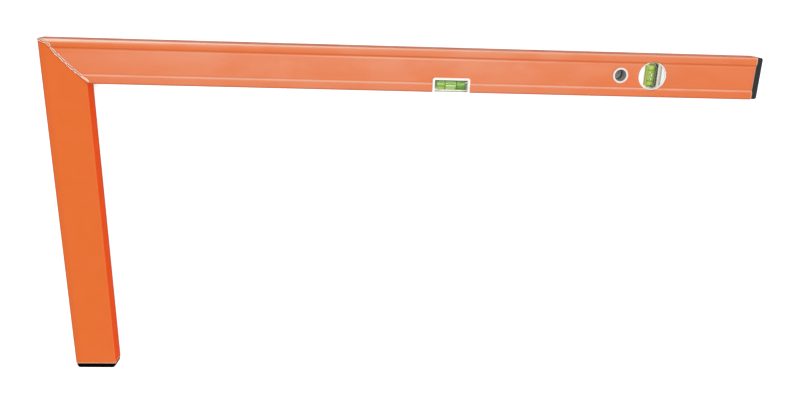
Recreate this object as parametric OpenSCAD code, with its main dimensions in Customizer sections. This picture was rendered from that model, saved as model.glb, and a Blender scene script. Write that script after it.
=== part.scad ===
// Builders square: two welded aluminium arms at a right angle, with two spirit vials in the long arm.
// Frame: origin at the outer heel corner on the rear face, X along the long arm,
// the short arm along -Y, Z through the thickness, the reading face at the top.

/* [Arms] */
// Nominal length of the long arm
long_len = 1000; // [920:10:1500]
// Nominal length of the short arm
short_len = 500; // [300:10:800]
// Width of both arms
arm_w = 60; // [57:1:90]
// Thickness of both arms
arm_t = 25; // [23:0.5:40]
// Radius of the long arm's long edges
long_edge_r = 2.5; // [1:0.1:4]
// Radius of the short arm's long edges
short_edge_r = 1.4; // [0.6:0.1:3]
// Wall of the short arm's tube
short_wall = 2; // [1.5:0.1:3.5]
// Inner corner radius of the short arm's tube
short_inner_r = 1; // [0.5:0.1:2]

/* [Long arm profile] */
// Wall at the long arm's two edges
flange_wall = 2.6; // [1.8:0.1:4]
// Wall of the long arm's bands and web
web_wall = 2; // [1.2:0.1:2.4]
// Width of each raised band
band_w = 10.4; // [7:0.1:11]
// Width of the slope between band and web
step_w = 1.8; // [0.8:0.1:2.6]
// Depth of the web below the bands
recess = 1.5; // [0.8:0.1:2]

/* [Mitre welds] */
// Radius of the bead's round back
bead_r = 3.2; // [2.6:0.1:4]
// Height of the front bead above the short arm
bead_h = 0.9; // [0.4:0.1:1.4]
// Depth of the weld preparation at the mitre
groove_d = 1.3; // [0.8:0.1:1.4]

/* [End caps] */
// Thickness of a cap's head
cap_t = 8; // [5:0.5:10]
// How far a cap stands beyond the arm's nominal length
cap_over = 1.5; // [0:0.5:4]
// Distance of the head's sides inside the tube's outline
cap_inset = 0.6; // [0.2:0.1:1.5]
// Chamfer on the head's two side edges
cap_chamfer = 3.6; // [1:0.1:3.8]
// Chamfer on the head's front and rear edges
cap_face_chamfer = 0.8; // [0.5:0.1:3.5]
// Length of the plug inside the tube
plug_len = 24; // [12:1:40]
// Wall of the plug
plug_wall = 2; // [1.2:0.1:3]
// Corner radius of the plug
plug_r = 1.2; // [1:0.1:2]
// Clearance between plug and tube
plug_gap = 0.25; // [0.15:0.05:0.5]
// Width of a grip rib on the plug
rib_w = 1.2; // [0.8:0.1:2]
// Distance between the two grip ribs on each side of the plug
rib_span = 26; // [10:1:40]
// Clearance left at a grip rib
rib_gap = 0.05; // [0.02:0.01:0.1]

/* [Hanging hole] */
// Distance of the hole's middle from the window's middle
hang_from_window = 46; // [45:1:200]
// Radius of the hole through the bush
hang_r = 8.25; // [6:0.05:9]
// Wall of the bush's sleeve
bush_wall = 1.75; // [1.2:0.05:2]
// Width of the flange beyond the sleeve
bush_lip = 0.8; // [0.6:0.1:1.5]
// Thickness of the flange
bush_lip_t = 0.9; // [0.5:0.1:1.4]
// Radius of the flange's rounded rim
bush_lip_r = 0.4; // [0.2:0.05:0.45]
// Clearance between sleeve and web
bush_gap = 0.1; // [0.05:0.05:0.3]

/* [Plumb window] */
// Distance of the window's middle from the long arm's free end
window_from_end = 154.4; // [100:0.1:250]
// Radius of the window
window_r = 20; // [19.5:0.1:21]
// Clearance round the bezels
window_gap = 0.15; // [0.1:0.05:0.3]
// Width of the bezel's rim
bezel_rim = 0.9; // [0.6:0.1:1.4]
// Width of the cone inside the rim
bezel_cone_w = 0.8; // [0.4:0.1:1.2]
// Depth of the bezel's face below its rim
bezel_dish = 2.3; // [1:0.1:4]
// Land between the bezel's slot and the cone
slot_land = 0.25; // [0.1:0.05:1]
// Space beside the vial in the slot
slot_side_gap = 4.5; // [2:0.1:5]
// Space beyond the vial's ends in the slot
slot_end_gap = 1.4; // [0.6:0.1:2.5]
// Thickness of the cradle between the bezels
cradle_t = 2.4; // [1.5:0.1:4]
// Clearance between cradle and vial
cradle_gap = 0.1; // [0.05:0.05:0.3]

/* [Plumb vial] */
// Width of the block
plumb_w = 14; // [13.5:0.1:15]
// Depth of the block
plumb_d = 15; // [14:0.1:17]
// Corner radius of the block
plumb_corner_r = 4.4; // [2:0.1:5]
// Radius of the bore
plumb_bore_r = 5.5; // [4.8:0.1:6]
// Wall of the block at the ends of the bore
plumb_end_wall = 2.5; // [1.5:0.1:4]
// Length of the bubble
plumb_bubble_len = 13.5; // [10:0.5:16]
// Radius of the bubble
plumb_bubble_r = 3.1; // [2:0.1:3.5]
// Distance between the reading lines
plumb_mark_span = 15.6; // [12:0.1:18]

/* [Edge vial] */
// Distance of the vial's middle from the heel
edge_x = 560.5; // [200:0.5:600]
// Length of the frame
frame_len = 52.8; // [48:0.1:70]
// Height of the frame from the arm's inner edge
frame_h = 20.4; // [19.5:0.1:26]
// Wall of the frame
frame_wall = 3.2; // [2:0.1:4]
// Corner radius of the frame
frame_r = 3.4; // [1:0.1:5]
// Clearance between frame and arm
frame_gap = 0.1; // [0.05:0.05:0.3]
// Clearance between block and frame
block_gap = 0.1; // [0.05:0.05:0.3]
// Depth of the block through the arm
edge_d = 16; // [15:0.5:20]
// Radius of the bore
edge_bore_r = 6; // [5:0.1:7]
// Wall of the block at the ends of the bore
edge_end_wall = 3.6; // [2:0.1:5]
// Length of the bubble
edge_bubble_len = 15; // [10:0.2:18]
// Radius of the bubble
edge_bubble_r = 3.4; // [2:0.1:4]
// Distance between the reading lines
edge_mark_span = 16.2; // [12:0.1:20]

/* [Vial fits] */
// Width of a reading line
mark_w = 0.9; // [0.5:0.1:1.5]
// Depth of a reading line's groove in the bore
mark_d = 0.4; // [0.2:0.1:0.7]
// Clearance of plug and reading lines in their seats
vial_plug_gap = 0.03; // [0.02:0.01:0.1]
// Clearance between liquid and bore
liquid_gap = 0.03; // [0.02:0.01:0.1]
// Clearance round the bubble
bubble_gap = 0.3; // [0.2:0.05:0.5]

/* [Hidden] */
$fn = 64;

// Overshoot of cutting bodies past the faces that they cut
over = 1;
mid_z = arm_t / 2;
mid_y = -arm_w / 2;
long_tube = long_len + cap_over - cap_t;
short_tube = short_len + cap_over - cap_t;
window_x = long_len - window_from_end;
hang_x = window_x - hang_from_window;
web_top = arm_t - recess;
// Height of the hollow behind the web, and of the hollow behind the bands
web_hollow = arm_t - 2 * (recess + web_wall);
band_hollow = arm_t - 2 * web_wall;
// The hollow's slope starts this much nearer the edge than the outer slope, to keep the wall
slope_shift = web_wall / 2;
mitre_len = arm_w * sqrt(2);
bead_axis_z = arm_t + bead_h - bead_r;
// The weld stops this far inside the arms' outer and inner edges
bead_end_inset = 0.6;

bush_r = hang_r + bush_wall;
bush_flange_r = bush_r + bush_lip;

bezel_r = window_r - window_gap;
bezel_face_r = bezel_r - bezel_rim - bezel_cone_w;
bezel_face_z = web_top - bezel_dish;
cradle_top = mid_z + cradle_t / 2;
slot_half_w = plumb_w / 2 + slot_side_gap;
slot_half_l = bezel_face_r - slot_land;
plumb_len = 2 * (slot_half_l - slot_end_gap);
plumb_bore_len = plumb_len - 2 * plumb_end_wall;

block_len = frame_len - 2 * frame_wall - 2 * block_gap;
block_h = frame_h - frame_wall - block_gap;
edge_bore_len = block_len - 2 * edge_end_wall;
edge_axis_y = -arm_w + block_h / 2;

orange = [0.91, 0.45, 0.23];
weld_pale = [0.96, 0.78, 0.68];
cap_black = [0.07, 0.08, 0.09];
bush_white = [0.96, 0.94, 0.90];
clear_acrylic = [0.88, 0.94, 0.90, 0.5];
liquid_green = [0.62, 0.82, 0.25];
bubble_pale = [0.90, 0.98, 0.75];
mark_dark = [0.15, 0.20, 0.08];

// Shared shapes

// Rectangle from its lower corner, with true round corners
module round_rect(size, r) {
    union() {
        translate([r, 0]) square([size[0] - 2 * r, size[1]]);
        translate([0, r]) square([size[0], size[1] - 2 * r]);
        for (x = [r, size[0] - r], y = [r, size[1] - r])
            translate([x, y]) circle(r = r);
    }
}

// Rectangle about its middle, with true round corners
module round_rect_mid(size, r) {
    translate([-size[0] / 2, -size[1] / 2]) round_rect(size, r);
}

// Sweeps a section, drawn in Y and Z, along +X
module along_x(length) {
    rotate([90, 0, 90]) linear_extrude(length) children();
}

// Sweeps a section, drawn in X and Z, along -Y
module along_minus_y(length) {
    rotate([90, 0, 0]) linear_extrude(length) children();
}

// Turns a piece of the front face over to the rear face
module to_rear_face() {
    translate([0, 0, arm_t]) mirror([0, 0, 1]) children();
}

// Half of the square's heel beyond the mitre: side 1 is below the diagonal, side -1 above it
module mitre_cutter(side) {
    near = -over;
    far = arm_w + over;
    third = side > 0 ? [near, -far] : [far, -near];
    translate([0, 0, -over])
        linear_extrude(arm_t + 2 * over)
            polygon([[near, -near], third, [far, -far]]);
}

// Ridge along the mitre that cuts the weld preparation, apex downwards
module groove_bar() {
    side = groove_d * sqrt(2);
    rotate([0, 0, -45])
        translate([-over, 0, arm_t])
            rotate([45, 0, 0])
                translate([0, -side / 2, -side / 2])
                    cube([mitre_len + 2 * over, side, side]);
}

module weld_preparation() {
    groove_bar();
    to_rear_face() groove_bar();
}

// Arms

// Recess of the web in one face, drawn in Y and Z at the front
module recess_section(start, depth, face_z) {
    inner = start + step_w;
    polygon([
        [-start, face_z + over], [-start, face_z],
        [-inner, face_z - depth], [-(arm_w - inner), face_z - depth],
        [-(arm_w - start), face_z], [-(arm_w - start), face_z + over]
    ]);
}

module long_outline() {
    difference() {
        translate([-arm_w, 0]) round_rect([arm_w, arm_t], long_edge_r);
        recess_section(band_w, recess, arm_t);
        translate([0, arm_t]) mirror([0, 1]) recess_section(band_w, recess, arm_t);
    }
}

module long_hollow() {
    hollow_w = arm_w - 2 * flange_wall;
    start = band_w - slope_shift;
    top = arm_t - web_wall;
    difference() {
        translate([-arm_w + flange_wall, web_wall]) square([hollow_w, band_hollow]);
        recess_section(start, recess, top);
        translate([0, arm_t]) mirror([0, 1]) recess_section(start, recess, top);
    }
}

module short_outline() {
    round_rect([arm_w, arm_t], short_edge_r);
}

module short_hollow() {
    translate([short_wall, short_wall])
        round_rect([arm_w - 2 * short_wall, arm_t - 2 * short_wall], short_inner_r);
}

// Solid envelope of each arm, with its mitre and weld preparation
module long_envelope() {
    difference() {
        along_x(long_tube) long_outline();
        mitre_cutter(1);
        weld_preparation();
    }
}

module short_envelope() {
    difference() {
        along_minus_y(short_tube) short_outline();
        mitre_cutter(-1);
        weld_preparation();
    }
}

// Outline of the vial frame from the arm's inner edge, run out below that edge
module frame_outline(grow) {
    r = frame_r + grow;
    drop = r + over;
    translate([edge_x - frame_len / 2 - grow, -arm_w - drop])
        round_rect([frame_len + 2 * grow, frame_h + grow + drop], r);
}

module edge_notch() {
    translate([0, 0, -over]) linear_extrude(arm_t + 2 * over) frame_outline(frame_gap);
}

module long_arm_tube() {
    color(orange)
        difference() {
            long_envelope();
            translate([-over, 0, 0]) along_x(long_tube + 2 * over) long_hollow();
            translate([hang_x, mid_y, -over])
                cylinder(r = bush_r + bush_gap, h = arm_t + 2 * over);
            translate([window_x, mid_y, -over])
                cylinder(r = window_r, h = arm_t + 2 * over);
            edge_notch();
        }
}

module short_arm_tube() {
    color(orange)
        difference() {
            short_envelope();
            translate([0, over, 0]) along_minus_y(short_tube + 2 * over) short_hollow();
        }
}

// Welds

// Round bar along the mitre, kept between two heights
module bead_bar(axis_z, low, high) {
    span = arm_w - 2 * bead_end_inset;
    intersection() {
        rotate([0, 0, -45])
            translate([0, 0, axis_z])
                rotate([0, 90, 0])
                    cylinder(r = bead_r, h = mitre_len);
        translate([bead_end_inset, bead_end_inset - arm_w, low]) cube([span, span, high - low]);
    }
}

module front_mitre_weld() {
    color(weld_pale)
        difference() {
            bead_bar(bead_axis_z, web_top, arm_t + bead_h);
            long_envelope();
            short_envelope();
        }
}

// The rear bead is ground level with the arms, so that the square lies flat
module rear_mitre_weld() {
    color(weld_pale)
        difference() {
            bead_bar(arm_t - bead_axis_z, 0, recess);
            long_envelope();
            short_envelope();
        }
}

// End caps

// Cap head, with the tube's end at X = 0, drawn in Y from 0 to -arm_w
module cap_head() {
    head_w = arm_w - 2 * cap_inset;
    head_h = arm_t - 2 * cap_inset;
    c = cap_chamfer;
    f = cap_face_chamfer;
    intersection() {
        translate([0, 0, cap_inset])
            linear_extrude(head_h)
                polygon([
                    [0, -cap_inset], [cap_t - c, -cap_inset], [cap_t, -cap_inset - c],
                    [cap_t, -cap_inset - head_w + c], [cap_t - c, -cap_inset - head_w],
                    [0, -cap_inset - head_w]
                ]);
        along_minus_y(arm_w)
            polygon([
                [0, cap_inset], [cap_t - f, cap_inset], [cap_t, cap_inset + f],
                [cap_t, cap_inset + head_h - f], [cap_t - f, cap_inset + head_h],
                [0, cap_inset + head_h]
            ]);
    }
}

// Hollow plug with grip ribs, for a hollow that is wide by high about the arm's middle
module cap_plug(wide, high) {
    plug_w = wide - 2 * plug_gap;
    plug_h = high - 2 * plug_gap;
    rib_h = plug_gap - rib_gap;
    translate([-plug_len, 0, 0])
        along_x(plug_len)
            translate([mid_y, mid_z])
                difference() {
                    round_rect_mid([plug_w, plug_h], plug_r);
                    square([plug_w - 2 * plug_wall, plug_h - 2 * plug_wall], center = true);
                }
    for (y = [-rib_span / 2, rib_span / 2], top = [0, 1])
        translate([
            -plug_len + plug_wall,
            mid_y + y - rib_w / 2,
            top == 1 ? mid_z + plug_h / 2 : mid_z - plug_h / 2 - rib_h
        ])
            cube([plug_len - plug_wall, rib_w, rib_h]);
}

module long_arm_end_cap() {
    color(cap_black)
        translate([long_tube, 0, 0]) {
            cap_head();
            cap_plug(arm_w - 2 * flange_wall, web_hollow);
        }
}

// The same cap turned to the end of the short arm
module short_arm_end_cap() {
    color(cap_black)
        translate([0, -short_tube, 0])
            rotate([0, 0, -90])
                translate([0, arm_w, 0]) {
                    cap_head();
                    cap_plug(arm_w - 2 * short_wall, arm_t - 2 * short_wall);
                }
}

// Hanging hole

module front_hang_bush() {
    color(bush_white)
        translate([hang_x, mid_y, 0])
            rotate_extrude()
                union() {
                    translate([hang_r, mid_z]) square([bush_wall, web_top - mid_z]);
                    translate([hang_r, web_top])
                        square([bush_wall + bush_lip - bush_lip_r, bush_lip_t]);
                    translate([hang_r, web_top])
                        square([bush_wall + bush_lip, bush_lip_t - bush_lip_r]);
                    translate([bush_flange_r - bush_lip_r, web_top + bush_lip_t - bush_lip_r])
                        circle(r = bush_lip_r);
                }
}

module rear_hang_bush() {
    to_rear_face() front_hang_bush();
}

// Plumb window and its vial

// Round opening with two flat sides
module slot_outline() {
    intersection() {
        circle(r = slot_half_l);
        square([2 * slot_half_w, 2 * slot_half_l], center = true);
    }
}

module front_window_bezel() {
    color(bush_white)
        translate([window_x, mid_y, 0])
            difference() {
                rotate_extrude()
                    polygon([
                        [0, cradle_top], [bezel_r, cradle_top], [bezel_r, web_top],
                        [bezel_r - bezel_rim, web_top], [bezel_face_r, bezel_face_z],
                        [0, bezel_face_z]
                    ]);
                translate([0, 0, mid_z]) linear_extrude(arm_t) slot_outline();
            }
}

module rear_window_bezel() {
    to_rear_face() front_window_bezel();
}

module plumb_block_outline(grow) {
    round_rect_mid(
        [plumb_w + 2 * grow, plumb_len + 2 * grow],
        plumb_corner_r + grow
    );
}

module plumb_vial_cradle() {
    color(bush_white)
        translate([window_x, mid_y, mid_z - cradle_t / 2])
            difference() {
                cylinder(r = bezel_r, h = cradle_t);
                translate([0, 0, -over])
                    linear_extrude(cradle_t + 2 * over) plumb_block_outline(cradle_gap);
            }
}

// Vial parts, with the bore along X, its middle at the origin and the bubble on the +Z side

// Bore with its two grooves for the reading lines, open at the +X end for the plug
module vial_bore(bore_r, bore_len, end_wall, mark_span) {
    translate([-bore_len / 2, 0, 0])
        rotate([0, 90, 0])
            cylinder(r = bore_r, h = bore_len + end_wall + over);
    for (x = [-mark_span / 2, mark_span / 2])
        translate([x - mark_w / 2, 0, 0])
            rotate([0, 90, 0])
                cylinder(r = bore_r + mark_d, h = mark_w);
}

module vial_plug(bore_r, bore_len, end_wall) {
    translate([bore_len / 2, 0, 0])
        rotate([0, 90, 0])
            cylinder(r = bore_r - vial_plug_gap, h = end_wall);
}

module vial_marks(bore_r, mark_span) {
    for (x = [-mark_span / 2, mark_span / 2])
        translate([x - mark_w / 2, 0, 0])
            rotate([0, 90, 0])
                difference() {
                    cylinder(r = bore_r + mark_d - vial_plug_gap, h = mark_w);
                    translate([0, 0, -over]) cylinder(r = bore_r, h = mark_w + 2 * over);
                }
}

// Round-ended bar that holds a bubble, or with grow the room that it needs
module bubble_bar(r, length) {
    straight = length - 2 * r;
    translate([-straight / 2, 0, 0])
        rotate([0, 90, 0])
            cylinder(r = r, h = straight);
    for (x = [-straight / 2, straight / 2])
        translate([x, 0, 0]) sphere(r = r);
}

// Height of the bubble's axis over the bore's axis
function bubble_rise(bore_r, bubble_r) = bore_r - bubble_r - bubble_gap;

module vial_bubble(bore_r, bubble_r, length) {
    translate([0, 0, bubble_rise(bore_r, bubble_r)])
        bubble_bar(bubble_r, length);
}

// Liquid that fills the bore except for the bubble's run, which is open at the top of the bore
module vial_liquid(bore_r, bore_len, bubble_r) {
    run_r = bubble_r + bubble_gap;
    run_len = bore_len - 2 * bubble_gap;
    rise = bubble_rise(bore_r, bubble_r);
    difference() {
        translate([-bore_len / 2, 0, 0])
            rotate([0, 90, 0])
                cylinder(r = bore_r - liquid_gap, h = bore_len);
        translate([0, 0, rise]) bubble_bar(run_r, run_len);
        translate([-run_len / 2, -run_r, rise]) cube([run_len, 2 * run_r, bore_r]);
    }
}

// Places a vial part in the window, with the bore along Y and its plug at the outer edge
module at_window() {
    translate([window_x, mid_y, mid_z]) rotate([0, 0, 90]) children();
}

// Places a vial part in the frame at the inner edge
module at_edge() {
    translate([edge_x, edge_axis_y, mid_z]) children();
}

module plumb_block() {
    translate([window_x, mid_y, mid_z - plumb_d / 2])
        linear_extrude(plumb_d) plumb_block_outline(0);
}

module plumb_vial_body() {
    color(clear_acrylic)
        difference() {
            plumb_block();
            at_window() vial_bore(plumb_bore_r, plumb_bore_len, plumb_end_wall, plumb_mark_span);
        }
}

// The plug's end follows the block's round corners
module plumb_vial_end_plug() {
    color(clear_acrylic)
        intersection() {
            at_window() vial_plug(plumb_bore_r, plumb_bore_len, plumb_end_wall);
            plumb_block();
        }
}

module plumb_vial_liquid() {
    color(liquid_green)
        at_window() vial_liquid(plumb_bore_r, plumb_bore_len, plumb_bubble_r);
}

module plumb_vial_bubble() {
    color(bubble_pale)
        at_window() vial_bubble(plumb_bore_r, plumb_bubble_r, plumb_bubble_len);
}

module plumb_vial_marker_rings() {
    color(mark_dark)
        at_window() vial_marks(plumb_bore_r, plumb_mark_span);
}

// Edge vial

module edge_vial_frame() {
    opening = [frame_len - 2 * frame_wall, frame_h - frame_wall + over];
    color(bush_white)
        linear_extrude(arm_t)
            difference() {
                intersection() {
                    frame_outline(0);
                    translate([edge_x - frame_len / 2, -arm_w]) square([frame_len, frame_h]);
                }
                translate([edge_x - opening[0] / 2, -arm_w - over]) square(opening);
            }
}

module edge_vial_body() {
    color(clear_acrylic)
        difference() {
            translate([edge_x - block_len / 2, -arm_w, mid_z - edge_d / 2])
                cube([block_len, block_h, edge_d]);
            at_edge() vial_bore(edge_bore_r, edge_bore_len, edge_end_wall, edge_mark_span);
        }
}

module edge_vial_end_plug() {
    color(clear_acrylic)
        at_edge() vial_plug(edge_bore_r, edge_bore_len, edge_end_wall);
}

module edge_vial_liquid() {
    color(liquid_green)
        at_edge() vial_liquid(edge_bore_r, edge_bore_len, edge_bubble_r);
}

module edge_vial_bubble() {
    color(bubble_pale)
        at_edge() vial_bubble(edge_bore_r, edge_bubble_r, edge_bubble_len);
}

module edge_vial_marker_rings() {
    color(mark_dark)
        at_edge() vial_marks(edge_bore_r, edge_mark_span);
}

long_arm_tube();
short_arm_tube();
front_mitre_weld();
rear_mitre_weld();
long_arm_end_cap();
short_arm_end_cap();
front_hang_bush();
rear_hang_bush();
edge_vial_frame();
edge_vial_body();
edge_vial_end_plug();
edge_vial_liquid();
edge_vial_bubble();
edge_vial_marker_rings();
front_window_bezel();
rear_window_bezel();
plumb_vial_cradle();
plumb_vial_body();
plumb_vial_end_plug();
plumb_vial_liquid();
plumb_vial_bubble();
plumb_vial_marker_rings();
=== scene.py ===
"""Looks of a builders square: two welded, powder-coated aluminium arms with two spirit vials.

Every class below stands for one sub-assembly. Sizes are millimetres in the part's own frame: X runs
along the long arm, -Y along the short arm and +Z out of the front face, with the origin at the
outer heel corner on the rear face. Skin.piece() turns millimetres into metres.
"""
import logging
import math
from dataclasses import dataclass, field
from enum import Enum
from typing import Callable, Optional, Sequence

import bmesh
import bpy
import numpy as np
from mathutils import Matrix, Vector


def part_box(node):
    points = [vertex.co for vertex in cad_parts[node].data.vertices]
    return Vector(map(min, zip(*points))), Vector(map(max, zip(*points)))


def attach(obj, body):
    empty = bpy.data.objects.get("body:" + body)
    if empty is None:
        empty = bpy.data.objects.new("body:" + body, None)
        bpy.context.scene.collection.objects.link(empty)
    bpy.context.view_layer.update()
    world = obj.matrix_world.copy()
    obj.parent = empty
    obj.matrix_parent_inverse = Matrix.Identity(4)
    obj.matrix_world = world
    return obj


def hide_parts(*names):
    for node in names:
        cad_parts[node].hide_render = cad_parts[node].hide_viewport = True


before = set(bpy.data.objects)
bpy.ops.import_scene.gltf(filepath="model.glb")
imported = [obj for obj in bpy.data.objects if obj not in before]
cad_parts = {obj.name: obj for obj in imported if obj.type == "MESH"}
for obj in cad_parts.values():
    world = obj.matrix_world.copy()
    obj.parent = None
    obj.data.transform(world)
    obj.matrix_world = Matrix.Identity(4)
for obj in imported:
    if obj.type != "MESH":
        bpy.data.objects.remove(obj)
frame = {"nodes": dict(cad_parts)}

MM = 0.001
IMAGE_W = 800
LOG = logging.getLogger("builders_square")

SOFT_RAMP = 0.3
WHITE = (1, 1, 1, 1)

Array = np.ndarray
Colour = tuple[float, float, float, float]
Curve = Callable[[Array], Array]
Marks = dict[str, Array]
Pair = tuple[float, float]
Triple = tuple[float, float, float]


class Body(Enum):
    """The rigid bodies that pieces ride on."""

    SQUARE = "square"
    EDGE_BUBBLE = "edge_bubble"
    PLUMB_BUBBLE = "plumb_bubble"


class Side(Enum):
    """The two faces of the square, with the direction in which each one looks along Z."""

    FRONT = 1
    REAR = -1


def box_mm(node: str) -> tuple[Array, Array]:
    """Lowest and highest corner of a CAD node, in millimetres."""
    low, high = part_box(node)
    return np.array(low) / MM, np.array(high) / MM


def middle_mm(node: str) -> tuple[Array, Array]:
    """Middle of a CAD node's box and half its size, in millimetres."""
    low, high = box_mm(node)
    return (low + high) / 2, (high - low) / 2


def srgb(red: int, green: int, blue: int) -> Colour:
    """Turns a display colour of 0 to 255 into Blender's linear colour.

    Args:
        red: Red, from 0 to 255.
        green: Green, from 0 to 255.
        blue: Blue, from 0 to 255.

    Returns:
        Linear red, green and blue with an alpha of 1.
    """
    value = np.array([red, green, blue]) / 255
    linear = np.where(value <= 0.04045, value / 12.92, ((value + 0.055) / 1.055) ** 2.4)
    return (float(linear[0]), float(linear[1]), float(linear[2]), 1.0)


def colours(*stops: tuple[float, int, int, int]) -> list[tuple[float, Colour]]:
    """Stops of a blend, each from its place and its display colour."""
    return [(place, srgb(*colour)) for place, *colour in stops]


def rounded_ramp(position: Array, blend: float) -> Array:
    """Ramp from 0 to 1 over positions 0 to 1, with a parabola of half width blend at each end.

    Args:
        position: Where to read the ramp.
        blend: Half width of the rounded corners, below 0.5.

    Returns:
        The ramp's height: 0 before it, 1 after it, and straight in the middle.
    """

    def corner(x: Array) -> Array:
        """0 before the corner, the parabola across it, and x after it."""
        bent = (x + blend) ** 2 / (4 * blend)
        return np.where(x < -blend, 0.0, np.where(x > blend, x, bent))

    return corner(position) - corner(position - 1)


def fade(position: Array, start: float, length: float) -> Array:
    """Rounded ramp that rises from 0 at its start to 1 over its length."""
    return rounded_ramp((position - start) / length, SOFT_RAMP)


def bell(position: Array, centre: float | Array, width: float | Array) -> Array:
    """Bell curve: e to the minus square of the distance from its centre over its width."""
    return np.exp(-(((position - centre) / width) ** 2))


def wobble(position: Array, waves: Sequence[Triple]) -> Array:
    """Sum of sine waves along a path, for edges that a hand or a weld left uneven.

    Args:
        position: Distance along the path, in millimetres.
        waves: One (height, wavelength, phase) for each wave, the phase in radians.

    Returns:
        The sum at each position.
    """
    total = np.zeros_like(position, dtype=float)
    for height, length, phase in waves:
        total = total + height * np.sin(2 * math.pi * position / length + phase)
    return total


def merged(values: Sequence[Array], step: float = 1e-4) -> Array:
    """All values of several arrays in rising order, without near repeats."""
    ordered = np.sort(np.concatenate([np.atleast_1d(v) for v in values]))
    return ordered[np.concatenate([[True], np.diff(ordered) > step])]


class Skin:
    """Collects grids of points and makes one piece of them."""

    def __init__(self) -> None:
        """Starts an empty skin."""
        self.points: list[Array] = []
        self.quads: list[Array] = []
        self.finish: list[Array] = []
        self.marks: list[Marks] = []
        self.count = 0

    def grid(
        self, points: Array, finish: int = 0, marks: Optional[Marks] = None, wrap: bool = False
    ) -> None:
        """Adds a grid of points, joined to quads along its rows and columns.

        Args:
            points: Points in millimetres, as rows by columns by 3.
            finish: Index of the material among the piece's own.
            marks: Named numbers for each point that the material may read, as rows by columns.
            wrap: True if the last column joins the first.
        """
        rows, columns = points.shape[:2]
        index = np.arange(rows * columns).reshape(rows, columns) + self.count
        if wrap:
            index = np.concatenate([index, index[:, :1]], axis=1)
        corners = [index[:-1, :-1], index[:-1, 1:], index[1:, 1:], index[1:, :-1]]
        quads = np.stack(corners, axis=-1).reshape(-1, 4)
        self.points.append(points.reshape(-1, 3))
        self.quads.append(quads)
        self.finish.append(np.full(len(quads), finish))
        self.marks.append(marks or {})
        self.count += rows * columns

    def disc(self, rim: Array, finish: int = 0, marks: Optional[Marks] = None) -> None:
        """Closes a loop of points with rings that shrink to its middle.

        Args:
            rim: The loop, as points by 3.
            finish: Index of the material among the piece's own.
            marks: Named numbers for each rim point, carried in to the middle.
        """
        shares = np.array([1.0, 0.5, 0.0])[:, None, None]
        middle = rim.mean(axis=0)
        rings = middle + (rim - middle)[None] * shares
        carried = {
            name: np.repeat(value[None], len(shares), axis=0) for name, value in (marks or {}).items()
        }
        self.grid(rings, finish, carried, wrap=True)

    def mark_values(self, name: str) -> Array:
        """One mark of every point.

        Args:
            name: The mark's name.

        Returns:
            Its value at each point, with 0 where a grid doesn't carry it.
        """
        return np.concatenate([
            marks[name].reshape(-1) if name in marks else np.zeros(len(points))
            for marks, points in zip(self.marks, self.points)
        ])

    def piece(
        self,
        name: str,
        materials: Sequence[bpy.types.Material],
        body: Body,
        slot: str,
        replaces: Sequence[str] = (),
        crease_deg: float = 35,
    ) -> bpy.types.Object:
        """Makes the piece, closes its seams, turns its faces outwards and puts it on its body.

        Args:
            name: The piece's name.
            materials: Its materials, in the order of the grids' finish indices.
            body: The body that it rides on.
            slot: Name of the record's material slot; not used.
            replaces: The CAD nodes that it stands for.
            crease_deg: Edges that bend by more than this angle stay sharp.

        Returns:
            The new object.
        """
        mesh = bpy.data.meshes.new(name)
        vertices = np.concatenate(self.points) * MM
        mesh.from_pydata(vertices.tolist(), [], np.concatenate(self.quads).tolist())
        mesh.polygons.foreach_set("material_index", np.concatenate(self.finish).astype(np.int32))
        for mark in sorted({name for marks in self.marks for name in marks}):
            layer = mesh.attributes.new(mark, "FLOAT", "POINT")
            layer.data.foreach_set("value", self.mark_values(mark).astype(np.float32))
        work = bmesh.new()
        work.from_mesh(mesh)
        bmesh.ops.remove_doubles(work, verts=work.verts, dist=2e-6)
        bmesh.ops.dissolve_degenerate(work, edges=work.edges, dist=1e-7)
        bmesh.ops.recalc_face_normals(work, faces=work.faces)
        open_edges = sum(1 for edge in work.edges if len(edge.link_faces) != 2)
        work.to_mesh(mesh)
        work.free()
        mesh.shade_smooth()
        mesh.set_sharp_from_angle(angle=math.radians(crease_deg))
        piece = bpy.data.objects.new(name, mesh)
        bpy.context.scene.collection.objects.link(piece)
        for material in materials:
            mesh.materials.append(material)
        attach(piece, body.value)
        if replaces:
            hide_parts(*replaces)
        LOG.info("%s: %d faces, %d open edges", name, len(mesh.polygons), open_edges)
        return piece


def feed(tree: bpy.types.NodeTree, socket: bpy.types.NodeSocket, value: object) -> None:
    """Joins a socket into an input, or sets the input to a number or a colour.

    Args:
        tree: The node tree.
        socket: The input.
        value: An output socket, or a value.
    """
    if isinstance(value, bpy.types.NodeSocket):
        tree.links.new(value, socket)
    else:
        socket.default_value = value


def add_node(tree: bpy.types.NodeTree, kind: str, **values: object) -> bpy.types.Node:
    """Adds a node and feeds its inputs, named with underscores for spaces.

    Args:
        tree: The node tree.
        kind: The node's type.
        values: An output socket or a value for each named input.

    Returns:
        The new node.
    """
    node = tree.nodes.new(kind)
    for key, value in values.items():
        feed(tree, node.inputs[key.replace("_", " ")], value)
    return node


def arithmetic(
    tree: bpy.types.NodeTree, kind: str, first: object, second: object
) -> bpy.types.NodeSocket:
    """Works out one sum of two inputs.

    Args:
        tree: The node tree.
        kind: Blender's name of the operation.
        first: A socket or a number.
        second: A socket or a number.

    Returns:
        The socket of the result.
    """
    node = add_node(tree, "ShaderNodeMath")
    node.operation = kind
    feed(tree, node.inputs[0], first)
    feed(tree, node.inputs[1], second)
    return node.outputs["Value"]


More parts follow.
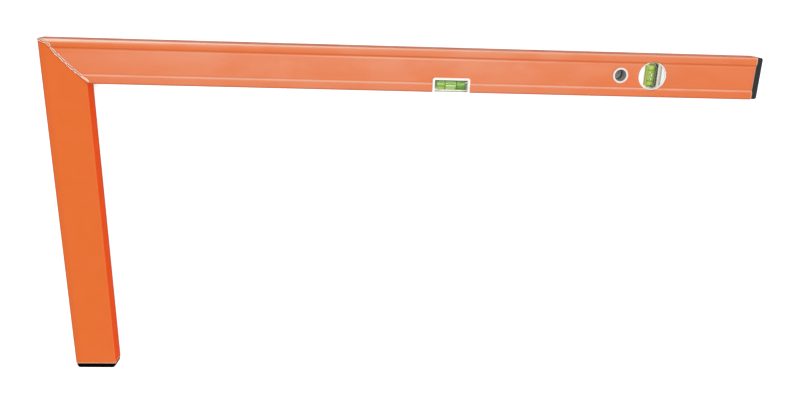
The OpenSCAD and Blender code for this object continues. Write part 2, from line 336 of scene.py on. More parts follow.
class Graph:
    """A material's node tree, with short calls that add nodes and join them."""

    def __init__(self, name: str) -> None:
        """Makes an empty material with an output and a Principled shader.

        Args:
            name: The material's name.
        """
        self.material = bpy.data.materials.new(name)
        self.material.use_nodes = True
        self.tree = self.material.node_tree
        self.tree.nodes.clear()
        self.shader = self.node("ShaderNodeBsdfPrincipled")
        self.node("ShaderNodeOutputMaterial", Surface=self.shader.outputs[0])

    def node(self, kind: str, **values: object) -> bpy.types.Node:
        """Adds a node and feeds its inputs, named with underscores for spaces."""
        return add_node(self.tree, kind, **values)

    def set(self, **values: object) -> None:
        """Feeds the shader's own inputs, named with underscores for spaces."""
        for key, value in values.items():
            feed(self.tree, self.shader.inputs[key.replace("_", " ")], value)

    def noise(
        self, size_mm: float, detail: float = 2, stretch: Triple = (1, 1, 1)
    ) -> bpy.types.NodeSocket:
        """Noise with blotches of one size.

        Args:
            size_mm: About how wide a blotch is.
            detail: Layers of finer noise on top.
            stretch: Stretch of the coordinates along each axis.

        Returns:
            The socket of its value, from 0 to 1.
        """
        place = self.node("ShaderNodeTexCoord").outputs["Object"]
        place = self.node("ShaderNodeMapping", Vector=place, Scale=stretch).outputs["Vector"]
        scale = 1 / (size_mm * MM)
        return self.node("ShaderNodeTexNoise", Vector=place, Scale=scale, Detail=detail).outputs["Fac"]

    def mark(self, name: str) -> bpy.types.NodeSocket:
        """A named number that the piece's points carry.

        Args:
            name: The mark's name.

        Returns:
            The socket of its value, which is 0 on a piece without the mark.
        """
        attribute = self.node("ShaderNodeAttribute")
        attribute.attribute_name = name
        return attribute.outputs["Fac"]

    def blend(
        self, share: bpy.types.NodeSocket, stops: Sequence[tuple[float, Colour]]
    ) -> bpy.types.NodeSocket:
        """Colour between stops.

        Args:
            share: Where to read the colours, from 0 to 1.
            stops: Place and colour of each stop.

        Returns:
            The socket of the colour.
        """
        node = self.node("ShaderNodeValToRGB", Fac=share)
        ramp = node.color_ramp
        while len(ramp.elements) < len(stops):
            ramp.elements.new(0.5)
        for element, (place, colour) in zip(ramp.elements, stops):
            element.position = place
            element.color = colour
        return node.outputs["Color"]

    def band(
        self, value: bpy.types.NodeSocket, low: float, high: float, at_low: float = 0, at_high: float = 1
    ) -> bpy.types.NodeSocket:
        """Maps a value smoothly from one range to another, held at both ends.

        Args:
            value: The value to map.
            low: Where the change starts.
            high: Where it stops.
            at_low: Result up to low.
            at_high: Result from high on.

        Returns:
            The socket of the result.
        """
        ends = {"From_Min": low, "From_Max": high, "To_Min": at_low, "To_Max": at_high}
        node = self.node("ShaderNodeMapRange", Value=value, **ends)
        node.interpolation_type = "SMOOTHSTEP"
        return node.outputs["Result"]

    def times(self, first: object, second: object) -> bpy.types.NodeSocket:
        """Multiplies two sockets or numbers."""
        return arithmetic(self.tree, "MULTIPLY", first, second)

    def mix(self, share: bpy.types.NodeSocket, first: object, second: object) -> bpy.types.NodeSocket:
        """Blends two colours.

        Args:
            share: Share of the second colour, from 0 to 1.
            first: A socket or a colour.
            second: A socket or a colour.

        Returns:
            The socket of the blend.
        """
        node = self.node("ShaderNodeMix", Factor=share)
        node.data_type = "RGBA"
        feed(self.tree, node.inputs[6], first)
        feed(self.tree, node.inputs[7], second)
        return node.outputs[2]

    def bump(self, height: bpy.types.NodeSocket, depth_mm: float, strength: float = 1) -> None:
        """Gives the shader's normal a fine relief.

        Args:
            height: Height of the relief, from 0 to 1.
            depth_mm: Its depth in millimetres.
            strength: How strongly it bends the normal, from 0 to 1.
        """
        depth = depth_mm * MM
        node = self.node("ShaderNodeBump", Height=height, Distance=depth, Strength=strength)
        self.set(Normal=node.outputs["Normal"])


@dataclass(frozen=True)
class PowderCoat:
    """Satin orange powder coat with a fine orange peel, and painted light and shade.

    Its marks paint light and shade: a redder reflected light on the short arm's inner face, darker
    shade on faces and slopes that lie in shade, a pale sheen on the long arm, and pale highlights
    along the edges.
    """

    face: Colour = srgb(231, 112, 50)
    # painted reflected light: the redder colour of the short arm's inner face
    red: Colour = srgb(236, 84, 38)
    # painted shade: darker paint on faces and slopes that lie in shade
    dull: Colour = srgb(186, 92, 60)
    # painted sheen: pale reflected sheen on the long arm
    bloom: Colour = srgb(238, 163, 132)
    # painted highlight: pale paint where edges and slopes catch the light
    highlighted: Colour = srgb(255, 221, 198)
    sheen_mm: float = 42
    peel_mm: float = 1.1
    roughness: float = 0.5
    gloss: float = 0.08

    def make(self) -> bpy.types.Material:
        """Builds the material.

        Returns:
            The finished material.
        """
        graph = Graph("orange_powder_coat")
        # painted reflected light: the short arm's inner face turns red
        body = graph.mix(graph.mark("red"), self.face, self.red)
        grain = graph.band(graph.noise(24, 4), 0.3, 0.7)
        body = graph.mix(graph.times(grain, 0.08), body, srgb(244, 132, 74))
        # painted sheen, broken into clouds
        clouds = graph.band(graph.noise(self.sheen_mm, 3, (0.6, 1.3, 1)), 0.38, 0.62, 0.7, 1)
        body = graph.mix(graph.times(graph.mark("bloom"), clouds), body, self.bloom)
        # painted shade
        body = graph.mix(graph.mark("dull"), body, self.dull)
        uneven = graph.band(graph.noise(14, 3, (0.3, 1, 1)), 0.28, 0.55, 0.75, 1)
        # painted highlights, uneven along the edges
        rub = graph.times(graph.mark("rub"), uneven)
        tone = graph.mix(rub, body, self.highlighted)
        rough = graph.band(graph.noise(30, 4), 0.3, 0.7, self.roughness - 0.06, self.roughness + 0.06)
        # the face with the painted red reflection also loses its gloss
        gloss = graph.band(graph.mark("red"), 0, 1, self.gloss, 0)
        graph.set(Base_Color=tone, Roughness=rough, Specular_IOR_Level=gloss)
        graph.bump(graph.noise(self.peel_mm, 1), 0.03, 0.3)
        return graph.material


@dataclass(frozen=True)
class BareAluminium:
    """Sawn aluminium at the tube ends and inside the tubes."""

    colour: Colour = srgb(226, 222, 216)

    def make(self) -> bpy.types.Material:
        """Builds the material, with fine saw marks.

        Returns:
            The finished material.
        """
        graph = Graph("bare_aluminium")
        tone = graph.mix(graph.noise(3, 2), self.colour, srgb(196, 192, 188))
        graph.set(Base_Color=tone, Metallic=1.0, Roughness=0.38)
        graph.bump(graph.noise(0.5, 1, (1, 1, 6)), 0.05, 0.5)
        return graph.material


@dataclass(frozen=True)
class CoatedBead:
    """Weld bead, painted pale on its crests as a highlight and dark in its valley as shade. The mark
    ridge runs from 0 in a valley to 1 on a crest.
    """

    # painted highlight on the crests
    crest: Colour = srgb(255, 206, 186)
    flank: Colour = srgb(232, 138, 104)
    # painted shade in the valley
    valley: Colour = srgb(96, 56, 46)

    def make(self) -> bpy.types.Material:
        """Builds the material.

        Returns:
            The finished material.
        """
        graph = Graph("weld_bead")
        stops = [(0.22, self.valley), (0.42, self.flank), (0.62, self.crest)]
        tone = graph.blend(graph.mark("ridge"), stops)
        stained = graph.band(graph.noise(3.5, 3), 0.55, 0.8, 0, 0.4)
        tone = graph.mix(stained, tone, self.flank)
        graph.set(Base_Color=tone, Roughness=0.4, Specular_IOR_Level=0.35)
        graph.bump(graph.noise(0.8, 2), 0.08, 0.5)
        return graph.material


@dataclass(frozen=True)
class GroundWeld:
    """Weld that was ground level and coated thinly, with the grinder's marks showing through."""

    coat: Colour = srgb(226, 104, 52)
    worn: Colour = srgb(238, 168, 132)

    def make(self) -> bpy.types.Material:
        """Builds the material.

        Returns:
            The finished material.
        """
        graph = Graph("ground_weld")
        lines = graph.noise(2.2, 3, (3, 0.5, 1))
        tone = graph.mix(graph.band(lines, 0.42, 0.7), self.coat, self.worn)
        graph.set(Base_Color=tone, Roughness=0.45)
        graph.bump(lines, 0.12, 0.6)
        return graph.material


@dataclass(frozen=True)
class MouldedPlastic:
    """Moulded plastic with a slight grain.

    Where its darkening mark rises it turns grey at one half and dark brown at 1: painted shade, and
    on the bush's flange a slightly greyer tone. Its green mark paints a nearby vial's green shade on
    it. White plastic is milky, and it has a painted glow in its own colour, a little everywhere and more
    where its lit mark rises.
    """

    name: str
    colour: Colour
    second: Colour
    roughness: float
    # colours of the darkening: grey, and dark brown painted shade
    grey_darkening: Colour = srgb(166, 164, 160)
    brown_shade: Colour = srgb(34, 20, 14)
    # painted green shade from a vial nearby
    cast: Colour = srgb(150, 146, 88)
    grain_mm: float = 0.7
    grain_depth: float = 0.02
    milky: float = 0
    gloss: float = 0.5
    # painted glow: emission in the plastic's own colour
    painted_glow: float = 0
    lit_painted_glow: float = 0

    def make(self) -> bpy.types.Material:
        """Builds the material.

        Returns:
            The finished material.
        """
        graph = Graph(self.name)
        tone = graph.mix(graph.band(graph.noise(6, 3), 0.35, 0.7), self.colour, self.second)
        spots = graph.band(graph.noise(2.4, 4), 0.25, 0.6, 0.85, 1)
        # darkening, mostly painted shade
        dirt = graph.times(graph.mark("dirt"), spots)
        tone = graph.mix(graph.band(dirt, 0, 0.5), tone, self.grey_darkening)
        tone = graph.mix(graph.band(dirt, 0.55, 0.95), tone, self.brown_shade)
        # painted green shade from a nearby vial
        tone = graph.mix(graph.mark("cast"), tone, self.cast)
        graph.set(Base_Color=tone, Roughness=self.roughness, Specular_IOR_Level=self.gloss)
        graph.set(Subsurface_Weight=self.milky, Subsurface_Radius=(1, 1, 1), Subsurface_Scale=4 * MM)
        # painted glow, stronger where the lit mark rises
        if self.lit_painted_glow > 0:
            strength = graph.band(graph.mark("lit"), 0, 1, self.painted_glow, self.lit_painted_glow)
            graph.set(Emission_Color=tone, Emission_Strength=strength)
        graph.bump(graph.noise(self.grain_mm, 2), self.grain_depth, 0.6)
        return graph.material


@dataclass(frozen=True)
class ClearAcrylic:
    """Clear polished acrylic.

    The mark flank paints light and shade on it: painted green light, with a painted glow, up to 0.6,
    as beside the liquid, and painted dark shade at 1, along an edge in shade. Without the mark it is
    clear.
    """

    tint: Colour = srgb(243, 248, 238)
    # painted green light on the side faces
    flank: Colour = srgb(166, 180, 92)
    # painted shade along the dark edge
    rim: Colour = srgb(50, 54, 46)

    def make(self) -> bpy.types.Material:
        """Builds the material.

        Returns:
            The finished material.
        """
        graph = Graph("clear_acrylic")
        flank = graph.mark("flank")
        stops = [(0.0, self.tint), (0.45, self.flank), (0.6, self.flank), (1.0, self.rim)]
        tone = graph.blend(flank, stops)
        bright = graph.band(flank, 0.32, 0.45, 0.4, 0.1)
        # painted glow of the green flanks
        painted_flank_glow = graph.times(graph.band(flank, 0, 0.3), bright)
        clear = graph.band(flank, 0.05, 0.45, 1, 0)
        rough = graph.band(graph.noise(5, 2), 0.3, 0.7, 0.015, 0.05)
        graph.set(Base_Color=tone, Emission_Color=tone, Emission_Strength=painted_flank_glow)
        graph.set(Transmission_Weight=clear, Roughness=rough, IOR=1.45, Specular_IOR_Level=0.25)
        return graph.material


def glow(graph: Graph, tone: bpy.types.NodeSocket, strength: float) -> None:
    """Colours a shader and gives it a painted glow in its own colour, for the look of a fluorescent dye.

    Args:
        graph: The material's nodes.
        tone: Its colour.
        strength: How strongly it shines.
    """
    graph.set(Base_Color=tone, Emission_Color=tone, Emission_Strength=strength)
    graph.set(Roughness=0.25, Specular_IOR_Level=0.2)


@dataclass(frozen=True)
class VialLiquid:
    """Fluorescent yellow-green liquid.

    The mark lift runs from 0 to 1 across the bore and picks the painted bands of light and shade
    that its round wall shows. The mark far rises to 1 over the section that gets painted shade.
    """

    name: str
    bands: Sequence[tuple[float, Colour]]
    shaded: Colour
    shade: float = 0.8
    painted_glow: float = 0.4

    def make(self) -> bpy.types.Material:
        """Builds the material.

        Returns:
            The finished material.
        """
        graph = Graph(self.name)
        # painted bands of light and shade across the bore
        tone = graph.blend(graph.mark("lift"), self.bands)
        cloudy = graph.band(graph.noise(3, 3), 0.45, 0.7, 0, 0.35)
        tone = graph.mix(cloudy, tone, srgb(176, 212, 92))
        middle = graph.band(graph.mark("lift"), 0.2, 0.7, 1, 0.2)
        # painted shade over the far section
        far = graph.times(graph.band(graph.mark("far"), 0.6, 0.72, 0, self.shade), middle)
        glow(graph, graph.mix(far, tone, self.shaded), self.painted_glow)
        return graph.material


@dataclass(frozen=True)
class AirBubble:
    """Air bubble: painted bands of light and shade by the mark lift, dark spots, painted glints, a
    painted glow.
    """

    name: str
    bands: Sequence[tuple[float, Colour]]
    spot: Colour
    spot_share: float
    glint_share: float = 0
    glint: Colour = srgb(246, 255, 214)
    painted_glow: float = 0.4

    def make(self) -> bpy.types.Material:
        """Builds the material.

        Returns:
            The finished material.
        """
        graph = Graph(self.name)
        tone = graph.blend(graph.mark("lift"), self.bands)
        spots = graph.band(graph.noise(2.6, 2), 0.46, 0.56, 0, self.spot_share)
        # painted glints
        glints = graph.band(graph.noise(1.7, 1), 0.56, 0.64, 0, self.glint_share)
        tone = graph.mix(glints, graph.mix(spots, tone, self.spot), self.glint)
        glow(graph, tone, self.painted_glow)
        return graph.material


@dataclass(frozen=True)
class ReadingInk:
    """Dark green ink of the reading lines."""

    colour: Colour = srgb(52, 82, 22)

    def make(self) -> bpy.types.Material:
        """Builds the material.

        Returns:
            The finished material.
        """
        graph = Graph("reading_line")
        tone = graph.mix(graph.band(graph.noise(1.5, 2), 0.3, 0.7), self.colour, srgb(80, 116, 40))
        # a faint painted glow of the ink
        glow(graph, tone, 0.15)
        return graph.material


@dataclass(frozen=True)
class Finishes:
    """All the materials of the square."""

    paint: bpy.types.Material
    bare: bpy.types.Material
    bead: bpy.types.Material
    ground: bpy.types.Material
    black: bpy.types.Material
    shaded_black: bpy.types.Material
    white: bpy.types.Material
    acrylic: bpy.types.Material
    edge_liquid: bpy.types.Material
    plumb_liquid: bpy.types.Material
    edge_bubble: bpy.types.Material
    plumb_bubble: bpy.types.Material
    ink: bpy.types.Material

    @property
    def coats(self) -> list[bpy.types.Material]:
        """An arm's materials: paint outside and bare metal inside."""
        return [self.paint, self.bare]

    @classmethod
    def make(cls) -> "Finishes":
        """Builds every material once.

        Returns:
            All the materials.
        """
        grain = {"grain_mm": 0.6, "grain_depth": 0.05}
        # white plastic: milky, with a painted glow
        painted_glow = {"milky": 0.6, "painted_glow": 0.09, "lit_painted_glow": 0.35}
        recipes = {
            "paint": PowderCoat(),
            "bare": BareAluminium(),
            "bead": CoatedBead(),
            "ground": GroundWeld(),
            "black": MouldedPlastic(
                "black_plastic", srgb(18, 21, 23), srgb(28, 33, 36), 0.46, gloss=0.25, **grain
            ),
            # shaded copy of the black plastic: painted shade for the short arm's cap
            "shaded_black": MouldedPlastic(
                "shaded_black_plastic", srgb(2, 1, 1), srgb(9, 6, 6), 0.7, gloss=0.02, **grain
            ),
            "white": MouldedPlastic(
                "white_plastic", srgb(251, 250, 246), srgb(245, 244, 239), 0.32, **painted_glow
            ),
            "acrylic": ClearAcrylic(),
            "edge_liquid": VialLiquid(
                "edge_liquid",
                colours(
                    (0.0, 140, 152, 96), (0.1, 196, 208, 136), (0.28, 178, 198, 106),
                    (0.42, 112, 156, 48), (0.56, 122, 170, 56), (0.7, 184, 226, 114),
                    (0.85, 164, 206, 124), (1.0, 150, 186, 128),
                ),
                srgb(98, 142, 38),
                0.95,
            ),
            "plumb_liquid": VialLiquid(
                "plumb_liquid",
                colours(
                    (0.0, 130, 144, 78), (0.15, 148, 166, 82), (0.35, 168, 190, 84),
                    (0.5, 176, 200, 78), (0.75, 188, 212, 82), (1.0, 172, 186, 86),
                ),
                srgb(132, 152, 72),
                0.5,
            ),
            "edge_bubble": AirBubble(
                "edge_bubble",
                colours(
                    (0.0, 150, 166, 96), (0.12, 186, 202, 138), (0.36, 150, 174, 96),
                    (0.50, 238, 255, 186), (0.60, 238, 255, 186), (0.76, 92, 134, 44),
                    (0.9, 140, 180, 100),
                ),
                srgb(150, 178, 92),
                0.45,
            ),
            "plumb_bubble": AirBubble(
                "plumb_bubble",
                colours(
                    (0.0, 136, 160, 100), (0.24, 130, 158, 92), (0.34, 92, 124, 44),
                    (0.46, 206, 236, 150), (0.66, 196, 226, 130), (0.85, 158, 184, 92),
                ),
                srgb(104, 138, 48),
                0.75,
                0.85,
            ),
            "ink": ReadingInk(),
        }
        return cls(**{name: recipe.make() for name, recipe in recipes.items()})


@dataclass(frozen=True)
class ArmProfile:
    """Section of an arm: rounded outer edges and, on the long arm, a web set below two bands."""

    width: float = 60
    thickness: float = 25
    edge_r: float = 2.5
    side_wall: float = 2.6
    face_wall: float = 2
    band_w: float = 10.4
    step_w: float = 1.8
    recess: float = 1.5
    crease: float = 0.22
    arc_steps: int = 8

    def height(self, y: Array) -> Array:
        """Front face's height over the rear plane.

        It is the thickness, less the recess times a rounded ramp of the distance past the nearer
        band.

        Args:
            y: Where to read it.

        Returns:
            The height at each y.
        """
        near = np.minimum(-y, self.width + y)
        ramp = rounded_ramp((near - self.band_w) / self.step_w, self.crease)
        return self.thickness - self.recess * ramp

    def rows(self, extra: Sequence[Array] = ()) -> Array:
        """Front half of the section, from the middle of the outer edge to that of the inner edge.

        The edges are quarter circles, and the face follows height(). Rows lie at both ends of each
        bend, so that flat stretches stay flat.

        Args:
            extra: Further Y places that need a row.

        Returns:
            Y and Z of each row.
        """
        middle, shoulder = self.thickness / 2, self.thickness - self.edge_r
        angle = np.linspace(0, math.pi / 2, self.arc_steps + 1)
        side = np.array([[0, middle], [0, (middle + shoulder) / 2], [0, shoulder - 0.15]])
        arc = np.stack(
            [self.edge_r * (np.cos(angle) - 1), shoulder + self.edge_r * np.sin(angle)], axis=1
        )
        bend = np.linspace(-self.crease, self.crease, 5) * self.step_w
        ends = [self.band_w + bend, self.band_w + self.step_w + bend]
        depths = [np.array([self.edge_r + 0.15, self.band_w - 1, self.width / 2])]
        foot = np.array([])
        if self.recess > 0:
            depths += ends
            foot = self.band_w + self.step_w + np.array([0.8, 1.6, 2.4, 3.4])
            foot = np.concatenate([foot, [5.0, self.band_w - 2.5], self.width - foot[:3]])
        depths = depths + [self.width - depth for depth in depths] + [foot]
        inside = merged(depths + [-np.asarray(e) for e in extra])
        inside = inside[(inside > self.edge_r + 0.1) & (inside < self.width - self.edge_r - 0.1)]
        face = np.stack([-inside, self.height(-inside)], axis=1)
        start = np.concatenate([side, arc])
        finish = start[::-1] * [-1, 1] - [self.width, 0]
        return np.concatenate([start, face, finish])

    def inner(self, rows: Array) -> Array:
        """Inner surface behind each row: a side wall inside the edges and a face wall below the face.

        Args:
            rows: Y and Z of the outer rows.

        Returns:
            Y and Z of the inner rows.
        """
        y = np.clip(rows[:, 0], -self.width + self.side_wall, -self.side_wall)
        z = np.minimum(rows[:, 1], self.height(rows[:, 0]) - self.face_wall)
        return np.stack([y, z], axis=1)


@dataclass(frozen=True)
class RoundHole:
    """Round hole through both faces, with a rounded lip at each face."""

    x: float
    y: float
    radius: float
    lip: float = 0.45
    steps: int = 28

    @property
    def mouth(self) -> float:
        """Radius where the lip meets the face."""
        return self.radius + self.lip

    def rows(self) -> Array:
        """Y places for the rows that cross the hole, closer together near its top and bottom."""
        return self.y + self.mouth * np.cos(np.linspace(0, math.pi, self.steps + 1))

    def half(self, y: Array) -> Array:
        """Half the hole's width at y: the root of the mouth's square less the height's square."""
        return np.sqrt(np.clip(self.mouth**2 - (y - self.y) ** 2, 0, None))

    def left(self, y: Array) -> Array:
        """Left border of the hole at each y, or its middle line above and below it."""
        return self.x - self.half(y)

    def right(self, y: Array) -> Array:
        """Right border of the hole at each y."""
        return self.x + self.half(y)


@dataclass(frozen=True)
class Notch:
    """Notch in the inner edge with two round corners."""

    x: float
    half_w: float
    top: float
    corner_r: float
    steps: int = 6

    def rows(self) -> Array:
        """Y places of the rows round the corners, from the top down."""
        angle = np.linspace(0, math.pi / 2, self.steps + 1)
        return self.top - self.corner_r * (1 - np.cos(angle))

    def inset(self, y: Array) -> Array:
        """How far the border has come in at y, where it follows the corner's circle."""
        rise = np.clip(y - (self.top - self.corner_r), 0, self.corner_r)
        return self.corner_r - np.sqrt(self.corner_r**2 - rise**2)

    def left(self, y: Array) -> Array:
        """Left border of the notch at each y."""
        return self.x - self.half_w + self.inset(y)

    def right(self, y: Array) -> Array:
        """Right border of the notch at each y."""
        return self.x + self.half_w - self.inset(y)


@dataclass(frozen=True)
class Border:
    """A border across the arm: its X as a function of y, and one X that stands for it."""

    at: Curve
    near: float

    @classmethod
    def straight(cls, x: float) -> "Border":
        """A border at one X."""
        return cls(lambda y: np.full_like(y, x), x)


@dataclass(frozen=True)
class PaintedLight:
    """Where an arm's paint carries painted light and shade: red reflected light, shade, sheen,
    highlights.

    A line runs along the arm. It is a bell over the depth from the outer edge, given by its place,
    from the edge or slope that it belongs to, and its width, in millimetres. A stretch is given by
    its start and length, or its middle and width, in shares of the arm's length, or in millimetres
    from the heel where its name ends in mm.
    """

    profile: ArmProfile
    length: float
    bloom: float = 0
    edge_highlight: float = 0
    # how strongly the inner face carries the painted red reflection
    red: float = 0
    sawn_end_w: float = 0.7
    plain_edge_w: float = 1.3
    edge_line: float = 1.5
    edge_line_w: Pair = (1.3, 0.8)
    foot_line: Pair = (2.2, 0.8)
    head_line_w: float = 1.0
    slope_line: Pair = (1.5, 1.4)
    web_line: Pair = (-2.2, 0.8)
    corner_line: Pair = (-0.4, 1.3)
    heel_sheen_mm: float = 130
    heel_edge_mm: float = 70
    heel_web_mm: Pair = (90, 7)
    end_stretch: Pair = (0.66, 0.26)
    edge_stretch: Pair = (0.10, 0.5)
    wide_stretch: Pair = (0.06, 0.12)
    patch_stretch: Pair = (0.50, 0.16)
    band_stretch: Pair = (0.32, 0.2)

    def marks(self, points: Array) -> Marks:
        """Marks of the painted light and shade at each point.

        The narrow faces get painted shade, or the painted red reflection at the inner side of a red arm,
        where only the strip by the floor gets painted shade. The sawn end gets a pale line. A plain arm
        has one line of painted shade at its outer edge, and a level profile has the lines of level_lines.

        Args:
            points: Points of the skin, as rows by columns by 3.

        Returns:
            The marks of the painted red reflection, the painted shade, the painted sheen and the painted
            highlights, each from 0 to 1.
        """
        x, depth, z = points[..., 0], -points[..., 1], points[..., 2]
        low = np.minimum(z, self.profile.thickness - z)
        outer, inner = self.narrow_faces(depth, low)
        # painted shade on the inner face's strip by the floor
        under = np.clip((5.5 - z) / 2.5, 0, 1)
        # painted shade on the narrow faces
        dull = (1 - 0.5 * self.bloom) * outer + inner * (1 - self.red + 0.7 * self.red * under)
        bloom = self.sheen_over(x, depth)
        # a pale line at the sawn end
        rub = 0.8 * bell(x, self.length, self.sawn_end_w)
        if self.profile.recess == 0:
            # painted shade along the plain arm's outer edge
            dull = dull + 0.9 * bell(depth, 0, self.plain_edge_w) * (low < 2.4)
        else:
            highlighted, shaded, left = self.level_lines(x, depth, low)
            dull, bloom, rub = dull + shaded, bloom * left, rub + highlighted
        return {
            "red": inner * self.red, "dull": np.clip(dull, 0, 1), "bloom": bloom * (1 - 0.7 * inner),
            "rub": np.clip(rub, 0, 1),
        }

    def narrow_faces(self, depth: Array, low: Array) -> tuple[Array, Array]:
        """How far each point lies on a narrow face: a ramp over the rounding of its edges.

        Args:
            depth: Distance from the arm's outer edge.
            low: Distance from the nearer wide face.

        Returns:
            The shares for the outer and for the inner narrow face.
        """
        edge_r = self.profile.edge_r
        side = np.clip((low - 0.5 * edge_r) / (0.4 * edge_r), 0, 1)
        return side * (depth < 1.2 * edge_r), side * (depth > self.profile.width - 1.2 * edge_r)

    def sheen_over(self, x: Array, depth: Array) -> Array:
        """Pale painted sheen: it fades towards the sawn end, near the heel and past the outer third.

        Args:
            x: Distance from the heel.
            depth: Distance from the arm's outer edge.

        Returns:
            The painted sheen before the lines thin it.
        """
        bloom = self.bloom * (1 - 0.6 * fade(x / self.length, *self.end_stretch))
        bloom = bloom * (1 - 0.45 * bell(x, 0, self.heel_sheen_mm))
        return bloom * (1.1 - 0.35 * fade(depth / self.profile.width, 0.30, 0.35))

    def level_lines(self, x: Array, depth: Array, low: Array) -> tuple[Array, Array, Array]:
        """Lines of painted light and shade along the level profile.

        Painted highlights lie on the outer edge's rounding, most near the heel, on the foot of the outer
        slope, most at half length, and on the head of the inner slope. Painted shade lies on the outer
        slope, on a thin line before the inner slope, and on the inner edge's rounding. The painted sheen
        is thin on the first third of the outer band, on the outer slope, and below that slope near the
        heel.

        Args:
            x: Distance from the heel.
            depth: Distance from the arm's outer edge.
            low: Distance from the nearer wide face.

        Returns:
            What to add to the painted highlights and to the painted shade, and the share of the painted
            sheen that is left.
        """
        band_w, share = self.profile.band_w, x / self.length
        foot_at = band_w + self.profile.step_w
        head_at = self.profile.width - band_w - 0.75 * self.profile.step_w
        widest, less = self.edge_line_w[0], self.edge_line_w[0] - self.edge_line_w[1]
        # strength of the painted highlight along the outer edge, strongest near the heel
        worn = 1.15 - 0.65 * fade(share, *self.edge_stretch) + 0.4 * bell(x, 0, self.heel_edge_mm)
        edge_w = widest - less * fade(share, *self.wide_stretch)
        edge = bell(depth, self.edge_line, edge_w) * (low < 1.6)
        foot = bell(depth, foot_at + self.foot_line[0], self.foot_line[1])
        patch = bell(share, *self.patch_stretch)
        head = bell(depth, head_at, self.head_line_w)
        # painted highlights on the outer edge, the outer slope's foot and the inner slope's head
        highlighted = self.edge_highlight * worn * edge + (0.1 + 0.4 * patch) * foot + 0.58 * head
        slope = bell(depth, band_w + self.slope_line[0], self.slope_line[1])
        web = bell(depth, head_at + self.web_line[0], self.web_line[1])
        corner = bell(depth, self.profile.width + self.corner_line[0], self.corner_line[1])
        shaded = 0.28 * slope + 0.2 * web + 0.9 * corner * (low < 1.8)
        band = fade(depth, 3.5, 5) * (depth < band_w + 1)
        plain = 0.75 * band * (1 - 0.75 * fade(share, *self.band_stretch))
        heel = bell(x, 0, self.heel_web_mm[0]) * bell(depth, foot_at, self.heel_web_mm[1])
        return highlighted, shaded, (1 - plain) * (1 - 0.7 * slope) * (1 - 0.6 * heel)


